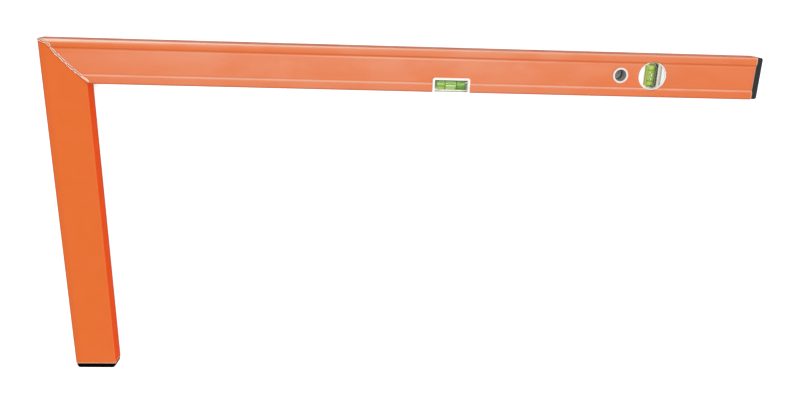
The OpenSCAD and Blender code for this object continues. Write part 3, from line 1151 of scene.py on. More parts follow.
@dataclass
class ArmShell:
    """Closed shell of one arm: outer skin, inner skin, and a rim at every border between them."""

    profile: ArmProfile
    length: float
    painted_light: PaintedLight
    groove: float = 1.3
    holes: Sequence[RoundHole] = ()
    notch: Optional[Notch] = None
    column_mm: float = 45
    end_columns: Pair = (1.6, 0.7)
    lip_shade: float = 0.9
    skin: Skin = field(default_factory=Skin)

    def groove_depth(self, rows: Array) -> Array:
        """Depth of the weld groove at the mitre: it fades where a row lies below the face."""
        return np.clip(self.groove - (self.profile.thickness - rows[:, 1]), 0, None)

    def start(self, rows: Array, grooved: bool) -> Array:
        """X where each row starts at the mitre, on the diagonal or set back by the groove."""
        back = math.sqrt(2) * self.groove_depth(rows) if grooved else 0
        return -rows[:, 0] + back

    def block(self, rows: Array, begin: Border, end: Border, from_mitre: bool = False) -> None:
        """Adds the outer and inner skin between two borders, on the front and on the rear.

        Each row runs straight from one border to the other, in equal steps, with two short steps
        more before the arm's sawn end.

        Args:
            rows: Y and Z of the outer rows.
            begin: The first border.
            end: The second border.
            from_mitre: True if the first border is the mitre.
        """
        span = end.near - begin.near
        share = np.linspace(0, 1, max(2, round(span / self.column_mm)) + 1)
        if end.near == self.length:
            share = merged([share, 1 - np.array(self.end_columns) / span])
        for line, finish in ((rows, 0), (self.profile.inner(rows), 1)):
            low = self.start(line, finish == 0) if from_mitre else begin.at(line[:, 0])
            x = low[:, None] + (end.at(line[:, 0]) - low)[:, None] * share
            y = np.repeat(line[:, :1], len(share), axis=1)
            z = np.repeat(line[:, 1:], len(share), axis=1)
            self.both_faces(np.stack([x, y, z], axis=-1), finish)

    def both_faces(
        self, points: Array, finish: int, wrap: bool = False, worn: Optional[Array] = None
    ) -> None:
        """Adds a grid and its mirror image in the arm's middle plane, with the marks of its painted light
        and shade.

        Args:
            points: Points of the front half.
            finish: 0 for paint and 1 for bare metal.
            wrap: True if the last column joins the first.
            worn: Further painted shade at each point.
        """
        for half in (points, points * [1, 1, -1] + [0, 0, self.profile.thickness]):
            marks = self.painted_light.marks(half)
            # extra painted shade, as round the hole lips
            if worn is not None:
                marks["dull"] = np.maximum(marks["dull"], worn)
            self.skin.grid(half, finish, marks, wrap)

    def rim(self, rows: Array, border: Border, finish: int) -> None:
        """Joins the outer to the inner skin along a border.

        Args:
            rows: Y and Z of the outer rows.
            border: The border.
            finish: 0 for paint and 1 for bare metal.
        """
        pair = (rows, self.profile.inner(rows))
        lines = [np.stack([border.at(line[:, 0]), line[:, 0], line[:, 1]], axis=1) for line in pair]
        self.both_faces(np.stack(lines), finish)

    def mitre_rim(self, rows: Array) -> None:
        """Joins the skins at the mitre, with the slope of the weld groove between them.

        Args:
            rows: Y and Z of the outer rows.
        """
        inner = self.profile.inner(rows)
        depth = self.groove_depth(rows)
        top = np.stack([self.start(rows, True), rows[:, 0], rows[:, 1]], axis=1)
        foot = np.stack([-rows[:, 0], rows[:, 0], rows[:, 1] - depth], axis=1)
        back = np.stack([-inner[:, 0], inner[:, 0], inner[:, 1]], axis=1)
        self.both_faces(np.stack([top, foot, back]), 0)

    def hole_rim(self, hole: RoundHole, rows: Array) -> None:
        """Adds a hole's lip, a quarter circle that turns down into it, and its wall, all in painted
        shade.

        Args:
            hole: The hole.
            rows: Y and Z of the outer rows.
        """
        inside = rows[np.abs(rows[:, 0] - hole.y) <= hole.mouth + 1e-6]
        up, down = inside, inside[::-1][1:-1]
        ring_y = np.concatenate([up[:, 0], down[:, 0]])
        ring_x = np.concatenate([hole.left(up[:, 0]), hole.right(down[:, 0])])
        around = np.stack([ring_x - hole.x, ring_y - hole.y], axis=1) / hole.mouth
        turn = np.linspace(0, math.pi / 2, 5)
        radii = [*(hole.radius + hole.lip * (1 - np.sin(turn))), hole.radius, hole.mouth]
        drops = [*(hole.lip * (1 - np.cos(turn))), self.profile.face_wall, self.profile.face_wall]
        layers = []
        for radius, drop in zip(radii, drops):
            plan = around * radius + [hole.x, hole.y]
            z = self.profile.height(ring_y) - drop
            layers.append(np.concatenate([plan, z[:, None]], axis=1))
        loops = np.stack(layers)
        # painted shade round the hole's lip and down its wall
        worn = np.zeros(loops.shape[:2])
        worn[1:] = self.lip_shade
        self.both_faces(loops, 0, True, worn)

    def build(self) -> Skin:
        """Builds the whole shell from the mitre to the sawn end.

        Returns:
            The skin that holds its grids.
        """
        extra = [hole.rows() for hole in self.holes]
        if self.notch:
            extra.append(self.notch.rows())
        rows = self.profile.rows(extra)
        holes = sorted(self.holes, key=lambda hole: hole.x)
        mitre = Border(lambda y: -y, 0)
        end = Border.straight(self.length)
        stops = [Border(hole.left, hole.x) for hole in holes] + [end]
        if self.notch:
            self.around_notch(rows, mitre, stops[0])
        else:
            self.block(rows, mitre, stops[0], True)
        for hole, stop in zip(holes, stops[1:]):
            self.block(rows, Border(hole.right, hole.x), stop)
            self.hole_rim(hole, rows)
        self.mitre_rim(rows)
        self.rim(rows, end, 1)
        return self.skin

    def around_notch(self, rows: Array, mitre: Border, stop: Border) -> None:
        """Adds the skins from the mitre past the notch to the next border, and the notch's rim.

        Args:
            rows: Y and Z of the outer rows.
            mitre: The border at the mitre.
            stop: The border after the notch.
        """
        notch = self.notch
        half = notch.half_w - notch.corner_r
        upper = rows[rows[:, 0] >= notch.top - 1e-6]
        lower = rows[rows[:, 0] <= notch.top + 1e-6]
        left, right = Border.straight(notch.x - half), Border.straight(notch.x + half)
        self.block(upper, mitre, left, True)
        self.block(upper, left, right)
        self.block(upper, right, stop)
        wall_left, wall_right = Border(notch.left, left.near), Border(notch.right, right.near)
        self.block(lower, mitre, wall_left, True)
        self.block(lower, wall_right, stop)
        self.rim(lower, wall_left, 0)
        self.rim(lower, wall_right, 0)
        columns = max(2, round(2 * half / self.column_mm)) + 1
        x = np.linspace(left.near, right.near, columns)
        pair = (lower[:1], self.profile.inner(lower[:1]))
        lines = [
            np.stack([x, np.full_like(x, line[0, 0]), np.full_like(x, line[0, 1])], axis=1)
            for line in pair
        ]
        self.both_faces(np.stack(lines), 0)


@dataclass
class Arms:
    """The two mitred arms."""

    long_profile: ArmProfile = ArmProfile()
    short_profile: ArmProfile = ArmProfile(edge_r=1.4, side_wall=2, recess=0)
    notch_gap: float = 0.1
    bush_gap: float = 0.1
    window_gap: float = 0.15
    frame_corner_r: float = 3.4
    bush_lip: float = 0.8
    hang_lip: float = 0.3
    window_steps: int = 40
    long_sheen: float = 0.66

    def long_arm(self, finishes: Finishes) -> bpy.types.Object:
        """Builds the level profile with its notch, hanging hole and window.

        Args:
            finishes: The square's materials.

        Returns:
            The new piece.
        """
        length = box_mm("long_arm_tube")[1][0]
        frame, frame_half = middle_mm("edge_vial_frame")
        bush, bush_half = middle_mm("front_hang_bush")
        bezel, bezel_half = middle_mm("front_window_bezel")
        notch = Notch(
            x=frame[0],
            half_w=frame_half[0] + self.notch_gap,
            top=box_mm("edge_vial_frame")[1][1] + self.notch_gap,
            corner_r=self.frame_corner_r + self.notch_gap,
        )
        hang_r = bush_half[0] - self.bush_lip + self.bush_gap
        hang = RoundHole(bush[0], bush[1], hang_r, lip=self.hang_lip)
        window_r = bezel_half[0] + self.window_gap
        window = RoundHole(bezel[0], bezel[1], window_r, steps=self.window_steps)
        # the long arm gets the painted sheen and painted edge highlights
        painted_light = PaintedLight(self.long_profile, length, bloom=self.long_sheen, edge_highlight=1)
        shell = ArmShell(self.long_profile, length, painted_light, holes=[hang, window], notch=notch)
        skin, slot = shell.build(), "orange_powder_coat"
        return skin.piece("long_arm", finishes.coats, Body.SQUARE, slot, ["long_arm_tube"])

    def short_arm(self, finishes: Finishes) -> bpy.types.Object:
        """Builds the plain tube along +X and folds it over the diagonal onto -Y.

        Args:
            finishes: The square's materials.

        Returns:
            The new piece.
        """
        length = -box_mm("short_arm_tube")[0][1]
        # the short arm's inner face carries the painted red reflection
        painted_light = PaintedLight(self.short_profile, length, red=1)
        skin = ArmShell(self.short_profile, length, painted_light).build()
        skin.points = [np.stack([-p[:, 1], -p[:, 0], p[:, 2]], axis=1) for p in skin.points]
        slot = "orange_powder_coat"
        return skin.piece("short_arm", finishes.coats, Body.SQUARE, slot, ["short_arm_tube"])


@dataclass
class MitreWeld:
    """Beads along the mitre. u runs along it from the heel, and v across it to the long arm."""

    profile: ArmProfile = ArmProfile()
    start_u: float = 2.0
    stop_u: float = 84.8
    half_w: float = 2.12
    height: float = 0.8
    sink: float = 0.7
    crease_deg: float = 60
    rows: int = 260
    columns: int = 29

    def route(self, u: Array) -> Array:
        """Centre of the front bead across the mitre.

        It starts beside the joint, swings towards the long arm near the heel, settles, and drifts
        off again at its end: a level, three bells, a ramp and small waves.

        Args:
            u: Where to read it.

        Returns:
            v of the centre at each u.
        """
        settle = 1.9 - 3.3 * bell(u, 0, 4) - 0.4 * bell(u, 57, 6)
        swing = 2.9 * bell(u, 15, 6.5)
        drift = 2.3 * fade(u, 62, 21)
        waves = wobble(u, [(0.20, 11.3, 0.4), (0.14, 6.7, 1.9), (0.09, 3.9, 0.2)])
        return settle + swing + drift + waves

    def width(self, u: Array) -> Array:
        """Half width of the front bead.

        It closes to a quarter circle at both ends, and is wider near the heel.

        Args:
            u: Where to read it.

        Returns:
            The half width at each u.
        """
        end = np.clip(np.minimum(u - self.start_u, self.stop_u - u) / self.half_w, 0, 1)
        taper = np.sqrt(np.clip(1 - (1 - end) ** 2, 0, 1))
        heel = 0.5 * bell(u, 5, 3.5)
        waves = wobble(u, [(0.15, 7.9, 1.1), (0.11, 4.3, 2.2), (0.07, 2.1, 0.7)])
        return (self.half_w + heel + waves) * np.maximum(taper, 0.02)

    def ground_height(self, y: Array, v: Array) -> Array:
        """Height of the arms' faces under the front bead.

        It is the short arm's flat face before the joint, and the long arm's section after it.

        Args:
            y: Y of each point.
            v: Distance of each point past the joint.

        Returns:
            Z of the face at each point.
        """
        share = np.clip((v + 0.4) / 1.6, 0, 1)
        return self.profile.thickness + (self.profile.height(y) - self.profile.thickness) * share

    def front(self, finishes: Finishes) -> bpy.types.Object:
        """Builds the proud bead: two wavy ridges, with a valley between them and ripples along them.

        Its section is 1 less the 2.6th power of the share of the half width, less a bell for the
        valley, which closes towards the far end.

        Args:
            finishes: The square's materials.

        Returns:
            The new piece.
        """
        u = np.linspace(self.start_u, self.stop_u, self.rows)[:, None]
        across = np.linspace(-1, 1, self.columns)[None, :]
        half = self.width(u)
        v = np.minimum(self.route(u) + half * across, u - 0.3)
        x, y = (u + v) / math.sqrt(2), (v - u) / math.sqrt(2)
        valley = 0.85 * (1 - fade(u, 70, 8))
        middle = 0.14 * wobble(u, [(1.0, 9.1, 0.3), (0.8, 5.3, 2.0)])
        crown = 1 - np.abs(across) ** 2.6
        dip = valley * bell(across, middle, 0.27)
        ripple = 1 + 0.06 * np.sin(2 * math.pi * (u + 0.9 * across**2) / 1.9)
        lower = np.clip(half / self.half_w, 0, 1) ** 0.6
        rise = self.height * np.clip(crown * ripple - dip, 0, 1.05) * lower
        base = self.ground_height(y, v)
        top = np.stack([x, y, base - 0.05 + rise], axis=-1)
        under = np.stack([x, y, base - self.sink], axis=-1)
        # ridge picks the painted shade in the valley and the painted highlight on the crests
        ridge = np.clip((crown - 1.25 * dip) * 1.1, 0, 1) * np.ones_like(rise)
        marks = {"ridge": np.concatenate([ridge, ridge[:, ::-1]], axis=1)}
        skin = Skin()
        skin.grid(np.concatenate([top, under[:, ::-1]], axis=1), 0, marks, wrap=True)
        for end in (0, -1):
            rim = np.concatenate([top[end], under[end, ::-1]])
            skin.disc(rim, 0, {"ridge": np.ones(len(rim))})
        name, node = "mitre_bead", "front_mitre_weld"
        return skin.piece(name, [finishes.bead], Body.SQUARE, "weld_bead", [node], self.crease_deg)

    def rear(self, finishes: Finishes) -> bpy.types.Object:
        """Builds the bead that was ground level: flat in the groove, and a slope down to the web.

        Args:
            finishes: The square's materials.

        Returns:
            The new piece.
        """
        u = np.linspace(self.start_u, self.stop_u, self.rows)[:, None]
        across = np.linspace(0, 1, self.columns)[None, :]
        depth = self.profile.thickness - self.profile.height(-u / math.sqrt(2))
        left = -1.15 + 0.08 * np.sin(u / 1.7)
        waves = wobble(u, [(0.1, 6.1, 0.2), (0.06, 2.9, 1.1)])
        right = 1.1 + 1.7 * depth / self.profile.recess + waves
        v = left + (right - left) * across
        x, y = (u + v) / math.sqrt(2), (v - u) / math.sqrt(2)
        fall = fade(v, 0.2, 2.4)
        floor = self.profile.thickness - self.profile.height(y)
        surface = 0.08 + np.minimum(floor, fall * self.profile.recess) + 0.03 * np.sin(u / 0.8) * fall
        top = np.stack([x, y, surface], axis=-1)
        under = np.stack([x, y, surface + self.sink], axis=-1)
        skin = Skin()
        skin.grid(np.concatenate([top, under[:, ::-1]], axis=1), wrap=True)
        for end in (0, -1):
            skin.disc(np.concatenate([top[end], under[end, ::-1]]))
        name, node = "rear_bead", "rear_mitre_weld"
        return skin.piece(name, [finishes.ground], Body.SQUARE, "weld_bead", [node], self.crease_deg)


def rounded_loop(half_a: Array, half_b: Array, radius: Array, steps: int = 7) -> Array:
    """Loops round a rectangle with round corners, one for each value of the half sizes.

    Each corner is a quarter circle about a point that lies one radius inside both sides.

    Args:
        half_a: Half sizes along the first direction.
        half_b: Half sizes along the second direction.
        radius: Corner radii.
        steps: Points on each corner, less one.

    Returns:
        Loops by points by 2.
    """
    half_a, half_b, radius = np.broadcast_arrays(*map(np.atleast_1d, (half_a, half_b, radius)))
    turn = np.linspace(0, math.pi / 2, steps + 1)
    angle = np.concatenate([turn + quarter * math.pi / 2 for quarter in range(4)])
    side_a = np.repeat([1, -1, -1, 1], steps + 1)
    side_b = np.repeat([1, 1, -1, -1], steps + 1)
    a = side_a * (half_a - radius)[:, None] + radius[:, None] * np.cos(angle)
    b = side_b * (half_b - radius)[:, None] + radius[:, None] * np.sin(angle)
    return np.stack([a, b], axis=-1)


@dataclass
class EndCap:
    """Black cap: a head with softened corners and a hollow plug inside the tube.

    The head's narrow sides come in over the chamfer, in a straight line where roundness is 1 and in
    a fuller curve where it is more. along_x is True for the long arm, which ends towards +X, and
    False for the short one, which ends towards -Y.
    """

    node: str
    tube: str
    along_x: bool
    head_t: float = 8
    chamfer: float = 3.6
    face_chamfer: float = 0.8
    roundness: float = 2.6
    soft: float = 0.5
    corner_r: float = 2.0
    plug_inset: float = 2.3
    plug_half_t: float = 8.6
    plug_corner_r: float = 1.2
    plug_wall: float = 2

    def head_rows(self) -> tuple[Array, Array, Array, Array]:
        """Outline of the head from the tube's end outwards.

        Returns:
            Distance from the tube's end, how far the long sides and the faces have come in, and
            the corner radius, each for every row.
        """
        out = np.concatenate([
            [0.0, 0.25],
            self.head_t - self.chamfer * (1 - np.sin(np.linspace(0, 1.35, 10))),
            self.head_t - self.face_chamfer + 0.3 * np.linspace(-1, 1, 4),
            self.head_t - self.soft * np.array([1.0, 0.55, 0.25, 0.08, 0.0]),
        ])
        out = np.unique(np.round(out, 3))
        turned_in = np.clip(1 - (self.head_t - out) / self.chamfer, 0, 1) ** self.roundness
        long_in = self.chamfer * (1 - (1 - turned_in) ** (1 / self.roundness))
        face_in = self.face_chamfer * rounded_ramp(
            (out - (self.head_t - self.face_chamfer)) / self.face_chamfer, 0.2
        )
        past = (out - self.head_t + self.soft) / self.soft
        ease = 0.4 * self.soft * (1 - np.sqrt(np.clip(1 - past**2, 0, 1)))
        ease = np.where(out > self.head_t - self.soft, ease, 0)
        lead = 0.2 * np.clip(1 - out / 0.25, 0, 1)
        return out, long_in + ease + lead, face_in + ease + lead, self.corner_r + 0 * out

    def build(self, finishes: Finishes) -> bpy.types.Object:
        """Builds the cap at the end of its arm.

        Args:
            finishes: The square's materials.

        Returns:
            The new piece.
        """
        half = middle_mm(self.node)[1]
        half_wide, length = (half[1], half[0] * 2) if self.along_x else (half[0], half[1] * 2)
        out, long_in, face_in, radius = self.head_rows()
        corner = radius - 0.4 * np.minimum(long_in, 3)
        head = self.points(out, rounded_loop(half_wide - long_in, half[2] - face_in, corner))
        skin = Skin()
        skin.grid(head, wrap=True)
        skin.disc(head[-1])
        plug_end = self.head_t - float(length)
        plug_half = half_wide - self.plug_inset
        shrink = np.array([0.0, 0.0, 0.0, 0.5])
        plug = rounded_loop(plug_half - shrink, self.plug_half_t - shrink, self.plug_corner_r)
        body = self.points(np.array([0.0, -0.02, plug_end + 0.6, plug_end]), plug)
        skin.grid(np.concatenate([head[:1], body]), wrap=True)
        wall, corner_r = self.plug_wall, self.plug_corner_r / 2
        hollow = rounded_loop(plug_half - wall, self.plug_half_t - wall, corner_r)
        cavity = self.points(np.array([plug_end, -1.0]), np.repeat(hollow, 2, axis=0))
        skin.grid(np.concatenate([body[-1:], cavity]), wrap=True)
        skin.disc(cavity[-1])
        name = "long_cap" if self.along_x else "short_cap"
        # the short cap takes the shaded black, a painted shade
        black = finishes.black if self.along_x else finishes.shaded_black
        return skin.piece(name, [black], Body.SQUARE, "black_plastic", [self.node])

    def points(self, out: Array, loops: Array) -> Array:
        """Places loops of the cap at the end of its tube.

        Args:
            out: Distance of each loop past the tube's end.
            loops: The loops, as places across the arm and through it, about the cap's middle.

        Returns:
            Rows by columns by 3.
        """
        middle = middle_mm(self.node)[0]
        tube_low, tube_high = box_mm(self.tube)
        z = middle[2] + loops[..., 1]
        reach = np.repeat(out[:, None], loops.shape[1], axis=1)
        if self.along_x:
            return np.stack([tube_high[0] + reach, middle[1] + loops[..., 0], z], axis=-1)
        return np.stack([middle[0] + loops[..., 0], tube_low[1] - reach, z], axis=-1)


def turned(profile: Array, steps: int, centre: Sequence[float]) -> Array:
    """Turns a profile about a vertical axis.

    Args:
        profile: Radius and Z of each row.
        steps: Points round the circle.
        centre: X and Y of the axis.

    Returns:
        Rows by steps by 3: radius times cosine and sine of the angle, and Z.
    """
    angle = np.linspace(0, 2 * math.pi, steps, endpoint=False)
    x = centre[0] + profile[:, :1] * np.cos(angle)
    y = centre[1] + profile[:, :1] * np.sin(angle)
    z = np.repeat(profile[:, 1:], steps, axis=1)
    return np.stack([x, y, z], axis=-1)


def arc(
    centre: Sequence[float], radius: float, start_deg: float, stop_deg: float, steps: int = 5
) -> Array:
    """Points on a circular arc in a plane, from one angle to another."""
    angle = np.radians(np.linspace(start_deg, stop_deg, steps + 1))
    return np.stack([centre[0] + radius * np.cos(angle), centre[1] + radius * np.sin(angle)], axis=1)


def to_side(points: Array, side: Side, thickness: float) -> Array:
    """Mirrors front points to the rear face where the side asks for it.

    Args:
        points: Points of a front piece.
        side: The face that the piece lies on.
        thickness: The arm's thickness.

    Returns:
        The points on that face.
    """
    if side is Side.FRONT:
        return points
    return points * [1, 1, -1] + [0, 0, thickness]


def white_piece(name: str, skin: Skin, finishes: Finishes, node: str) -> bpy.types.Object:
    """Makes a white plastic piece of its skin, in place of one CAD node."""
    return skin.piece(name, [finishes.white], Body.SQUARE, "white_plastic", [node])


@dataclass
class HangBush:
    """Flanged half of the hanging hole's bush."""

    side: Side
    hole_r: float = 8.25
    sleeve_wall: float = 1.75
    lip_t: float = 0.9
    rim_r: float = 0.3
    mouth_r: float = 0.22
    bore_rows: Sequence[float] = (0.94, 0.8, 0.6, 0.4, 0.2)
    flange_grey: float = 0.13
    steps: int = 72

    def build(self, finishes: Finishes) -> bpy.types.Object:
        """Turns the bush: up the sleeve, over the flange's rounded rim, and down the bore.

        The bore is grey with painted shade below its mouth, and dark brown with painted shadow deep in
        the rear half. The flange is slightly greyer.

        Args:
            finishes: The square's materials.

        Returns:
            The new piece.
        """
        face = self.side.name.lower()
        low, high = box_mm(f"{face}_hang_bush")
        thickness = box_mm("long_arm_tube")[1][2]
        middle, half = middle_mm(f"{face}_hang_bush")
        flange_r = half[0]
        top = thickness - low[2] if self.side is Side.REAR else high[2]
        seat = top - self.lip_t
        mid = thickness / 2
        sleeve_r = self.hole_r + self.sleeve_wall
        mouth = arc((self.hole_r + self.mouth_r, top - self.mouth_r), self.mouth_r, 90, 180)
        rim = arc((flange_r - self.rim_r, top - self.rim_r), self.rim_r, 0, 90)
        profile = np.concatenate([
            [[self.hole_r, mid], [sleeve_r, mid], [sleeve_r, seat], [flange_r, seat]],
            rim,
            mouth,
            [[self.hole_r, mid + (top - mid) * share] for share in self.bore_rows],
        ])
        ring = turned(profile, self.steps, middle[:2])
        # painted shade down the bore, and painted shadow deep in the rear bore
        below = 0.5 * np.clip((top - 0.2 - profile[:, 1]) / 0.5, 0, 1)
        if self.side is Side.REAR:
            below = below + 0.5 * np.clip((profile[:, 1] - mid - 3) / 3, 0, 1)
        dirt = np.where(profile[:, 0] < self.hole_r + 0.05, below, self.flange_grey)
        marks = np.repeat(dirt[:, None], self.steps, axis=1)
        closed = np.concatenate([ring, ring[:1]])
        skin = Skin()
        carried = {"dirt": np.concatenate([marks, marks[:1]])}
        skin.grid(to_side(closed, self.side, thickness), 0, carried, wrap=True)
        return white_piece(f"{face}_bush", skin, finishes, f"{face}_hang_bush")


@dataclass
class WindowBezel:
    """Dished bezel of the round window, with an opening that has two flat sides.

    Margins are distances of the dish's rows from the opening. wall_light gives the painted glow and
    the edge's list the painted shade of the last rows, down the opening's wall and round again to
    the outside.
    """

    side: Side
    rim_w: float = 0.9
    cone_w: float = 0.8
    dish: float = 2.3
    slot_half_w: float = 11.5
    slot_r: float = 17.9
    margins: Sequence[float] = (2.5, 2.2, 0.4, 0.2)
    margin_room: float = 2.3
    cast: float = 0.85
    wall_light: Sequence[float] = (0.0, 0.5, 1.0, 1.0, 1.0, 0.0)
    edge_shade: Sequence[float] = (0.55, 0.55, 0.5, 0.45, 0.35, 0.0, 0.0, 0.0)
    soft: float = 0.3
    steps: int = 180

    def slot(self, angle: Array) -> Array:
        """Radius of the opening at each angle: the circle, or the flat side where it is nearer."""
        return np.minimum(self.slot_r, self.slot_half_w / np.maximum(np.abs(np.cos(angle)), 1e-6))

    def angles(self) -> Array:
        """Angles round the bezel.

        Returns:
            Equal steps, with one more at each end of both flat sides.
        """
        corner = math.acos(self.slot_half_w / self.slot_r)
        ends = np.array([corner, math.pi - corner, math.pi + corner, 2 * math.pi - corner])
        return merged([np.linspace(0, 2 * math.pi, self.steps, endpoint=False), ends], 2e-3)

    def build(self, finishes: Finishes) -> bpy.types.Object:
        """Builds rows round the bezel.

        They run up the outside, over the rim, down the cone, across the dish to the opening and
        down its wall. The last rows share the opening's outline, and the dish's rows draw together
        where there is less room for their margins. The vial's green shade is painted on the front bezel's
        upper end, the walls beside it have a painted glow, and painted shade lies along the flat side at
        +X.

        Args:
            finishes: The square's materials.

        Returns:
            The new piece.
        """
        face = self.side.name.lower()
        low, high = box_mm(f"{face}_window_bezel")
        thickness = box_mm("long_arm_tube")[1][2]
        middle, half = middle_mm(f"{face}_window_bezel")
        outer_r = half[0]
        top = thickness - low[2] if self.side is Side.REAR else high[2]
        bottom = thickness - high[2] if self.side is Side.REAR else low[2]
        face_r = outer_r - self.rim_w - self.cone_w
        face_z = top - self.dish
        angle = self.angles()
        rim = arc((outer_r - self.soft, top - self.soft), self.soft, 0, 90, 4)
        inner_rim = arc((outer_r - self.rim_w, top - 0.2), 0.2, 90, 160, 3)
        rows = [(r, z, 0.0) for r, z in [(outer_r, bottom), *rim, *inner_rim]]
        rows += [(face_r + 0.15, face_z + 0.25, 0.0), (face_r, face_z + 0.04, 0.0)]
        rows += [(0.0, face_z, margin) for margin in self.margins]
        rows += [(0.0, face_z - 0.08, 0.1), (0.0, face_z - 0.3, 0.0)]
        rows += [(0.0, (face_z + bottom) / 2, 0.0), (0.0, bottom, 0.0)]
        opening = self.slot(angle)
        room = np.minimum(1, (face_r - 0.01 - opening) / self.margin_room)
        circle = np.stack([np.cos(angle), np.sin(angle)], axis=1)
        grid = []
        for radius, z, margin in rows:
            reach = np.full_like(angle, radius) if radius else opening + margin * room
            plan = middle[:2] + reach[:, None] * circle
            grid.append(np.concatenate([plan, np.full((len(angle), 1), z)], axis=1))
        loops = np.stack(grid + grid[:1])
        # painted green shade from the vial on the front bezel's upper end
        upper = np.clip((np.sin(angle) - 0.9) / 0.06, 0, 1) * (self.side is Side.FRONT)
        cast = self.cast * np.repeat(upper[None], len(loops), axis=0)
        wall, edge = (
            np.array([0.0] * (len(loops) - len(last)) + list(last))[:, None]
            for last in (self.wall_light, self.edge_shade)
        )
        far = np.clip((np.cos(angle) - 0.62) / 0.06, 0, 1)[None]
        facing = np.clip((np.abs(np.cos(angle)) - 0.5) / 0.1, 0, 1)[None]
        # painted green shade, painted glow on the walls, and painted shade along +X
        marks = {"cast": cast, "lit": wall * facing, "dirt": edge * far}
        skin = Skin()
        skin.grid(to_side(loops, self.side, thickness), 0, marks, wrap=True)
        return white_piece(f"{face}_bezel", skin, finishes, f"{face}_window_bezel")


@dataclass
class PlumbCradle:
    """White plate between the bezels that holds the plumb vial's block.

    The shaded ring round the block has one width at -X, where the liquid's green is painted on it,
    and another at +X, where it is painted dark as shade.
    """

    corner_r: float = 4.4
    gap: float = 0.1
    shaded_w: Pair = (1.2, 3.7)
    soft: float = 0.25
    steps: int = 14

    def build(self, finishes: Finishes) -> bpy.types.Object:
        """Builds the plate from its round outline to the block's outline, joined at equal angles.

        Rows are plan, Z and 1 inside the shaded ring. The plate beyond the ring has a painted glow.

        Args:
            finishes: The square's materials.

        Returns:
            The new piece.
        """
        low, high = box_mm("plumb_vial_cradle")
        middle, plate_half = middle_mm("plumb_vial_cradle")
        half = middle_mm("plumb_vial_body")[1][:2] + self.gap
        hole = rounded_loop(half[0], half[1], self.corner_r + self.gap, self.steps)[0]
        angle = np.arctan2(hole[:, 1], hole[:, 0])
        rim = plate_half[0] * np.stack([np.cos(angle), np.sin(angle)], axis=1)
        left_w, right_w = self.shaded_w
        grown = half + [(left_w + right_w) / 2, 0.5]
        shift = [(right_w - left_w) / 2, 0]
        ring, beyond = (
            rounded_loop(*(grown + more), self.corner_r + 0.6 + more, self.steps)[0] + shift
            for more in (0, 0.3)
        )
        top, base, lip = high[2], low[2], hole * 1.02
        rows = [
            (rim, base, 0), (rim, top, 0), (beyond, top, 0), (ring, top, 1), (lip, top, 1),
            (hole, top - self.soft, 1), (hole, base + self.soft, 1), (lip, base, 1),
            (ring, base, 1), (beyond, base, 0), (rim, base, 0),
        ]
        loops = np.stack([
            np.concatenate([plan + middle[:2], np.full((len(plan), 1), z)], axis=1)
            for plan, z, _ in rows
        ])
        share = hole[:, 0] / half[0]
        # painted shade at +X and painted green at -X; a painted glow elsewhere
        dark = np.clip((share - 0.5) / 0.2, 0, 1)
        green = 0.75 * np.clip((-share - 0.8) / 0.15, 0, 1)
        near = np.array([[shaded] for _, _, shaded in rows], dtype=float)
        lit = 0.6 * (1 - near * np.maximum(dark, green))
        skin = Skin()
        skin.grid(loops, 0, {"dirt": near * dark, "cast": near * green, "lit": lit}, wrap=True)
        return white_piece("vial_cradle", skin, finishes, "plumb_vial_cradle")


@dataclass
class VialFrame:
    """White U-shaped frame in the notch."""

    wall: float = 3.2
    corner_r: float = 3.4
    soft: float = 0.4
    corner_steps: int = 8

    def build(self, finishes: Finishes) -> bpy.types.Object:
        """Carries a rounded section along a U.

        It runs up one side, round a quarter circle, across the top, round another and down the
        other side. The two ends at the inner edge are closed.

        Args:
            finishes: The square's materials.

        Returns:
            The new piece.
        """
        low, high = box_mm("edge_vial_frame")
        radius = self.corner_r - self.wall / 2
        left, right = low[0] + self.wall / 2, high[0] - self.wall / 2
        top, base = high[1] - self.wall / 2, low[1]
        turn_in = arc((left + radius, top - radius), radius, 180, 90, self.corner_steps)
        turn_out = arc((right - radius, top - radius), radius, 90, 0, self.corner_steps)
        up, down = [[left, base], [left, base + 1]], [[right, base + 1], [right, base]]
        path = np.concatenate([up, turn_in, turn_out, down])
        along = np.gradient(path, axis=0)
        along[0] = along[1] = (0, 1)
        along[-1] = along[-2] = (0, -1)
        along[2], along[2 + self.corner_steps] = (0, 1), (1, 0)
        along[3 + self.corner_steps], along[-3] = (1, 0), (0, -1)
        along = along / np.linalg.norm(along, axis=1, keepdims=True)
        outwards = np.stack([-along[:, 1], along[:, 0]], axis=1)
        half_z = (high[2] - low[2]) / 2
        section = rounded_loop(self.wall / 2, half_z, self.soft, 4)[0]
        plan = path[:, None, :] + outwards[:, None, :] * section[None, :, :1]
        z = (low[2] + high[2]) / 2 + np.repeat(section[None, :, 1:], len(path), axis=0)
        loops = np.concatenate([plan, z], axis=-1)
        skin = Skin()
        skin.grid(loops, wrap=True)
        skin.disc(loops[0])
        skin.disc(loops[-1])
        return white_piece("vial_frame", skin, finishes, "edge_vial_frame")


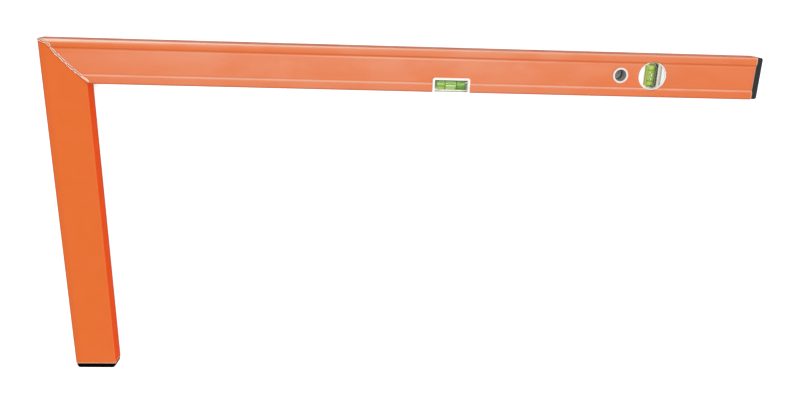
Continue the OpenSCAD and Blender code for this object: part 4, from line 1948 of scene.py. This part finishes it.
@dataclass
class Vial:
    """Clear block with a round bore: liquid, reading lines, end plug and air bubble.

    t runs along the bore, and the second direction lies across it in the plane of the face. The
    flanks say how much painted green light each side face of the block gets, at -X, +X, -Y and +Y.
    Gaps are distances from the bore's wall.
    """

    name: str
    nodes: str
    along_x: bool
    bubble_body: Body
    bore_r: float
    block_r: float
    flanks: tuple[float, float, float, float]
    painted_shade_rim: float = 0
    rim_w: float = 1.3
    rim_depth: float = 1.4
    line_w: float = 0.9
    line_gaps: Pair = (0.03, 0.22)
    liquid_gap: float = 0.06
    bubble_gap: float = 0.01
    bubble_power: float = 2.6
    soft: float = 0.25
    end_soft: float = 0.5
    steps: int = 48

    @property
    def axis(self) -> int:
        """The bore's axis: 0 for X and 1 for Y."""
        return 0 if self.along_x else 1

    def angles(self) -> Array:
        """Angles round the bore's axis, as one row."""
        return np.linspace(0, 2 * math.pi, self.steps, endpoint=False)[None, :]

    def axes(self, t: Array, across: Array, z: Array) -> Array:
        """Places points given along the bore, across it and in height about the vial's middle.

        Args:
            t: Distances along the bore.
            across: Distances across it.
            z: Heights above the middle.

        Returns:
            Points, with their axes last.
        """
        x, y, height = middle_mm(f"{self.nodes}_liquid")[0]
        place = (x + t, y + across, height + z) if self.along_x else (x - across, y + t, height + z)
        return np.stack(np.broadcast_arrays(*place), axis=-1)

    def tube(self, t: Array, radius: Array) -> Array:
        """Rings about the bore's axis, each at its own distance and with its own radius."""
        angle, reach = self.angles(), radius[:, None]
        return self.axes(t[:, None], reach * np.sin(angle), reach * np.cos(angle))

    def flank_marks(self, half: Array, z: Array, inset: Array) -> Array:
        """Painted green light of the side faces and the painted dark edge of shade.

        Each side face has its own share of painted green, and the front and rear faces stay clear. The
        painted dark edge runs along +X and fades out along -Y. It covers the outer rim_w of the front and
        rear faces and the sides down to rim_depth.

        Args:
            half: Half sizes of the block.
            z: Height of each row.
            inset: How far each row lies inside the block's outline.

        Returns:
            The mark flank, as rows by columns.
        """
        share = rounded_loop(half[0], half[1], self.block_r)[0] / half[:2]
        reach = np.stack([-share[:, 0], share[:, 0], -share[:, 1], share[:, 1]], axis=-1)
        near = np.clip((reach - 0.88) / 0.08, 0, 1)
        depth = np.minimum(z - z[0], z[-1] - z)[:, None]
        green = np.max(near * np.array(self.flanks), axis=-1) * (depth > 0)
        # painted shade along the +X edge and the lower edge
        right = np.clip((share[:, 0] - 0.55) / 0.15, 0, 1)
        lower = np.clip((-share[:, 1] - 0.88) / 0.06, 0, 1)
        lower = lower * np.clip((share[:, 0] + 0.7) / 0.6, 0, 1)
        shallow = np.clip((self.rim_depth + 0.5 - depth) / 0.5, 0, 1)
        rim = self.painted_shade_rim * np.maximum(right, lower) * shallow
        return np.maximum(green, rim * (inset < self.rim_w + 0.1)[:, None])

    def block(self, finishes: Finishes) -> bpy.types.Object:
        """Builds the block: rounded outlines from rear to front, with softened edges.

        Args:
            finishes: The square's materials.

        Returns:
            The new piece.
        """
        low, high = box_mm(f"{self.nodes}_body")
        middle, half = middle_mm(f"{self.nodes}_body")
        turn = np.linspace(0, math.pi / 2, 4)
        inset = self.soft * (1 - np.sin(turn))
        rise = self.soft * (1 - np.cos(turn))
        side = np.concatenate([[self.rim_w + 0.3, self.rim_w], inset, [0, 0]])
        depth = np.concatenate([[0, 0], rise, [self.rim_depth, self.rim_depth + 0.5]])
        inset = np.concatenate([side, side[::-1]])
        z = np.concatenate([low[2] + depth, high[2] - depth[::-1]])
        loops = rounded_loop(half[0] - inset, half[1] - inset, self.block_r - inset * 0.5)
        height = np.repeat(z[:, None, None], loops.shape[1], axis=1)
        points = np.concatenate([middle[:2] + loops, height], axis=-1)
        skin = Skin()
        skin.grid(points, 0, {"flank": self.flank_marks(half, z, inset)}, wrap=True)
        skin.disc(points[0])
        skin.disc(points[-1])
        name, node = f"{self.name}_block", f"{self.nodes}_body"
        return skin.piece(name, [finishes.acrylic], Body.SQUARE, "clear_acrylic", [node], 25)

    def tube_marks(self, t: Array, half: float) -> Marks:
        """Marks of rings along the bore.

        Args:
            t: Place of each ring along the bore.
            half: Half the length of the liquid.

        Returns:
            lift, from 0 to 1 across the bore, and far, from 0 to 1 along it, towards the right or
            the lower end of the photograph.
        """
        angle = self.angles()
        lift = (1 + np.sin(angle)) / 2 * np.ones((len(t), 1))
        share = (1 + (t if self.along_x else -t) / half) / 2
        return {"lift": lift, "far": share[:, None] * np.ones_like(angle)}

    def liquid(self, finishes: Finishes) -> bpy.types.Object:
        """Builds the liquid: a cylinder over the length of the bore with softened ends.

        Args:
            finishes: The square's materials.

        Returns:
            The new piece.
        """
        half = middle_mm(f"{self.nodes}_liquid")[1][self.axis]
        turn = np.linspace(0, math.pi / 2, 5)
        inset = self.end_soft * (1 - np.sin(turn))
        back = self.end_soft * (1 - np.cos(turn))
        inside = half * np.linspace(-0.9, 0.9, 19)
        t = np.concatenate([-half + back, inside, half - back[::-1]])
        radius = self.bore_r - self.liquid_gap
        radius = radius - np.concatenate([inset, 0 * inside, inset[::-1]])
        rings = self.tube(t, radius)
        marks = self.tube_marks(t, half)
        skin = Skin()
        skin.grid(rings, 0, marks, wrap=True)
        for end in (0, -1):
            skin.disc(rings[end], 0, {mark: value[end] for mark, value in marks.items()})
        finish = finishes.edge_liquid if self.along_x else finishes.plumb_liquid
        name, node = f"{self.name}_liquid", f"{self.nodes}_liquid"
        return skin.piece(name, [finish], Body.SQUARE, "green_liquid", [node])

    def plug(self, finishes: Finishes) -> bpy.types.Object:
        """Builds the end plug: a short cylinder with a bevelled inner end.

        Args:
            finishes: The square's materials.

        Returns:
            The new piece.
        """
        middle = middle_mm(f"{self.nodes}_liquid")[0]
        start, stop = ((corner - middle)[self.axis] for corner in box_mm(f"{self.nodes}_end_plug"))
        t = np.array([start + 0.1, start + 0.5, stop - 0.35, stop - 0.1])
        radius = self.bore_r - np.array([0.5, 0.1, 0.1, 0.35])
        rings = self.tube(t, radius)
        skin = Skin()
        skin.grid(rings, wrap=True)
        skin.disc(rings[0])
        skin.disc(rings[-1])
        name, node = f"{self.name}_plug", f"{self.nodes}_end_plug"
        return skin.piece(name, [finishes.acrylic], Body.SQUARE, "clear_acrylic", [node])

    def lines(self, finishes: Finishes) -> bpy.types.Object:
        """Builds the two reading lines: thin rings round the liquid.

        Args:
            finishes: The square's materials.

        Returns:
            The new piece.
        """
        half = self.line_w / 2
        reach = middle_mm(f"{self.nodes}_marker_rings")[1][self.axis] - half
        inner, outer = (self.bore_r + gap for gap in self.line_gaps)
        radius = np.array([inner, outer, outer, inner, inner])
        skin = Skin()
        for middle in (-reach, reach):
            t = middle + np.array([-half, -half, half, half, -half])
            skin.grid(self.tube(t, radius), wrap=True)
        name, node = f"{self.name}_lines", f"{self.nodes}_marker_rings"
        return skin.piece(name, [finishes.ink], Body.SQUARE, "reading_line", [node])

    def bubble(self, finishes: Finishes) -> bpy.types.Object:
        """Builds the bubble: a length of air pressed against the top of the bore.

        Its outline is a superellipse: the powers bubble_power of its shares of length and of width
        add up to 1. Its upper side follows the bore's circle, and its lower side hangs below as
        half an ellipse.

        Args:
            finishes: The square's materials.

        Returns:
            The new piece.
        """
        size = middle_mm(f"{self.nodes}_bubble")[1]
        half_len, half_w = size[self.axis], size[1 - self.axis]
        floor = box_mm(f"{self.nodes}_bubble")[0][2] - middle_mm(f"{self.nodes}_liquid")[0][2]
        roof_r = self.bore_r - self.bubble_gap
        swing = np.linspace(-math.pi / 2, math.pi / 2, 26)[:, None]
        angle, power = self.angles(), self.bubble_power
        t = half_len * np.sin(swing)
        share = np.clip(1 - np.abs(np.sin(swing)) ** power, 0, 1) ** (1 / power)
        across = half_w * share * np.sin(angle)
        edge = np.sqrt(roof_r**2 - (half_w * share) ** 2)
        hang = (math.sqrt(roof_r**2 - half_w**2) - floor) * share
        roof, belly = np.sqrt(roof_r**2 - across**2), edge + hang * np.cos(angle)
        z = np.where(np.cos(angle) >= 0, roof, belly)
        lift = (1 + np.sin(angle)) / 2 * np.ones_like(t)
        skin = Skin()
        skin.grid(self.axes(t * np.ones_like(angle), across, z), 0, {"lift": lift}, wrap=True)
        finish = finishes.edge_bubble if self.along_x else finishes.plumb_bubble
        name, node = f"{self.name}_bubble", f"{self.nodes}_bubble"
        return skin.piece(name, [finish], self.bubble_body, "air_bubble", [node], 180)

    def build(self, finishes: Finishes) -> None:
        """Builds every piece of the vial.

        Args:
            finishes: The square's materials.
        """
        self.block(finishes)
        self.liquid(finishes)
        self.plug(finishes)
        self.lines(finishes)
        self.bubble(finishes)


@dataclass
class Studio:
    """White floor and soft light, with lengths in metres.

    The floor reads as white by its glow, and the ambient occlusion over shade_open lets that glow
    fade out close to the square.
    """

    floor_size: float = 12.0
    floor_middle: Pair = (0.5, -0.25)
    floor_z: float = -0.00005
    floor_glow: float = 0.8
    floor_colour: float = 0.6
    shade_reach: float = 0.03
    shade_open: Pair = (0.15, 0.42)
    world_light: float = 0.55
    warm: Triple = (1, 0.99, 0.975)

    def world(self) -> None:
        """Lights the scene evenly, and shows white behind it, in glass and in gloss."""
        world = bpy.data.worlds.new("studio")
        bpy.context.scene.world = world
        world.use_nodes = True
        tree = world.node_tree
        tree.nodes.clear()
        kind, colour = "ShaderNodeBackground", (*self.warm, 1)
        light = add_node(tree, kind, Color=colour, Strength=self.world_light)
        white = add_node(tree, kind, Color=WHITE, Strength=1)
        mix = add_node(tree, "ShaderNodeMixShader", Fac=self.seen(tree))
        feed(tree, mix.inputs[1], light.outputs[0])
        feed(tree, mix.inputs[2], white.outputs[0])
        add_node(tree, "ShaderNodeOutputWorld", Surface=mix.outputs[0])

    @staticmethod
    def seen(tree: bpy.types.NodeTree) -> bpy.types.NodeSocket:
        """Tells by which rays a surface is seen.

        Args:
            tree: The node tree.

        Returns:
            1 for camera, glossy and transmission rays, and 0 for the others.
        """
        path = add_node(tree, "ShaderNodeLightPath")
        total = path.outputs["Is Camera Ray"]
        for name in ("Is Glossy Ray", "Is Transmission Ray"):
            total = arithmetic(tree, "MAXIMUM", total, path.outputs[name])
        return total

    def floor(self) -> None:
        """Lays the floor at the rear face's plane.

        It glows towards the camera, but not in the holes, and its matt part takes the object's
        shadow.
        """
        mesh = bpy.data.meshes.new("floor")
        half, (x, y) = self.floor_size / 2, self.floor_middle
        corners = [(x - half, y - half), (x + half, y - half), (x + half, y + half), (x - half, y + half)]
        mesh.from_pydata([(*corner, self.floor_z) for corner in corners], [], [(0, 1, 2, 3)])
        floor = bpy.data.objects.new("floor", mesh)
        bpy.context.scene.collection.objects.link(floor)
        material = bpy.data.materials.new("floor_white")
        material.use_nodes = True
        tree = material.node_tree
        tree.nodes.clear()
        matt = add_node(tree, "ShaderNodeBsdfDiffuse", Color=(self.floor_colour,) * 3 + (1,))
        near = add_node(tree, "ShaderNodeAmbientOcclusion", Distance=self.shade_reach)
        dark, bright = self.shade_open
        ends = {"From_Min": dark, "From_Max": bright, "To_Max": self.floor_glow}
        ramp = add_node(tree, "ShaderNodeMapRange", Value=near.outputs["AO"], **ends)
        strength = arithmetic(tree, "MULTIPLY", self.seen(tree), ramp.outputs["Result"])
        lit = add_node(tree, "ShaderNodeEmission", Color=WHITE, Strength=strength)
        both = add_node(tree, "ShaderNodeAddShader")
        feed(tree, both.inputs[0], matt.outputs[0])
        feed(tree, both.inputs[1], lit.outputs[0])
        add_node(tree, "ShaderNodeOutputMaterial", Surface=both.outputs[0])
        mesh.materials.append(material)

    @staticmethod
    def lamp(name: str, towards: Triple, power: float, spread_deg: float, colour: Triple) -> None:
        """Adds one soft light that falls evenly from a direction, as from a far, wide window.

        Args:
            name: The light's name.
            towards: Direction from the square to the light.
            power: Its strength.
            spread_deg: The angle that the light takes up in the sky.
            colour: Its colour.
        """
        data = bpy.data.lights.new(name, "SUN")
        data.energy = power
        data.angle = math.radians(spread_deg)
        data.color = colour
        lamp = bpy.data.objects.new(name, data)
        lamp.location = towards
        lamp.rotation_mode = "QUATERNION"
        lamp.rotation_quaternion = (-Vector(towards)).to_track_quat("-Z", "Y")
        bpy.context.scene.collection.objects.link(lamp)

    def build(self) -> None:
        """Builds the floor, the world and the lamps."""
        self.world()
        self.floor()
        self.lamp("key_window", (-0.3, 0.35, 1), 0.95, 30, self.warm)
        self.lamp("side_window", (1, -0.25, 0.5), 1.3, 40, (1, 0.99, 0.98))


@dataclass(frozen=True)
class PhotoCamera:
    """Camera at the photograph's viewpoint, in metres, fitted to the square's edges.

    focal_px, middle_px and image are in pixels of the photograph, and sensor is in millimetres.
    """

    place: Triple = (0.43987, 0.11505, 1.05928)
    aim: Triple = (0.49889, -0.22810, 0.025)
    roll_deg: float = -1.920
    focal_px: float = 741.45
    middle_px: Pair = (403.37, 205.51)
    image: tuple[int, int] = (IMAGE_W, 404)
    sensor: float = 36.0
    clip: Pair = (0.05, 50)

    def build(self) -> None:
        """Makes the camera: it looks from place to aim, with +Y up and turned by the roll."""
        data = bpy.data.cameras.new("camera")
        data.sensor_width = self.sensor
        data.lens = self.focal_px * self.sensor / self.image[0]
        data.shift_x = (self.image[0] / 2 - self.middle_px[0]) / self.image[0]
        data.shift_y = (self.middle_px[1] - self.image[1] / 2) / self.image[0]
        data.clip_start, data.clip_end = self.clip
        camera = bpy.data.objects.new("camera", data)
        bpy.context.scene.collection.objects.link(camera)
        forward = (Vector(self.aim) - Vector(self.place)).normalized()
        right = forward.cross(Vector((0, 1, 0))).normalized()
        up = right.cross(forward)
        turn = math.radians(self.roll_deg)
        rolled_up = up * math.cos(turn) + right * math.sin(turn)
        rolled_right = forward.cross(rolled_up)
        camera.matrix_world = Matrix((
            (rolled_right.x, rolled_up.x, -forward.x, self.place[0]),
            (rolled_right.y, rolled_up.y, -forward.y, self.place[1]),
            (rolled_right.z, rolled_up.z, -forward.z, self.place[2]),
            (0, 0, 0, 1),
        ))
        bpy.context.scene.camera = camera


def main() -> None:
    logging.basicConfig(level=logging.INFO, format="%(name)s: %(message)s")
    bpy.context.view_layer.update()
    bpy.context.scene.view_settings.view_transform = "Standard"
    finishes = Finishes.make()
    arms = Arms()
    arms.long_arm(finishes)
    arms.short_arm(finishes)
    weld = MitreWeld()
    weld.front(finishes)
    weld.rear(finishes)
    EndCap("long_arm_end_cap", "long_arm_tube", True).build(finishes)
    EndCap("short_arm_end_cap", "short_arm_tube", False, roundness=1).build(finishes)
    for side in Side:
        HangBush(side).build(finishes)
        WindowBezel(side).build(finishes)
    PlumbCradle().build(finishes)
    VialFrame().build(finishes)
    # shares of painted green light on the side faces of each block
    edge_flanks, plumb_flanks = (0.62, 0.42, 0.08, 0.26), (0.5, 0.5, 0.5, 0.5)
    Vial("edge", "edge_vial", True, Body.EDGE_BUBBLE, 6, 0.5, edge_flanks).build(finishes)
    # the plumb block also gets the painted dark edge
    Vial("plumb", "plumb_vial", False, Body.PLUMB_BUBBLE, 5.5, 4.4, plumb_flanks, 1).build(finishes)
    Studio().build()
    PhotoCamera().build()


if __name__ == "__main__":
    main()
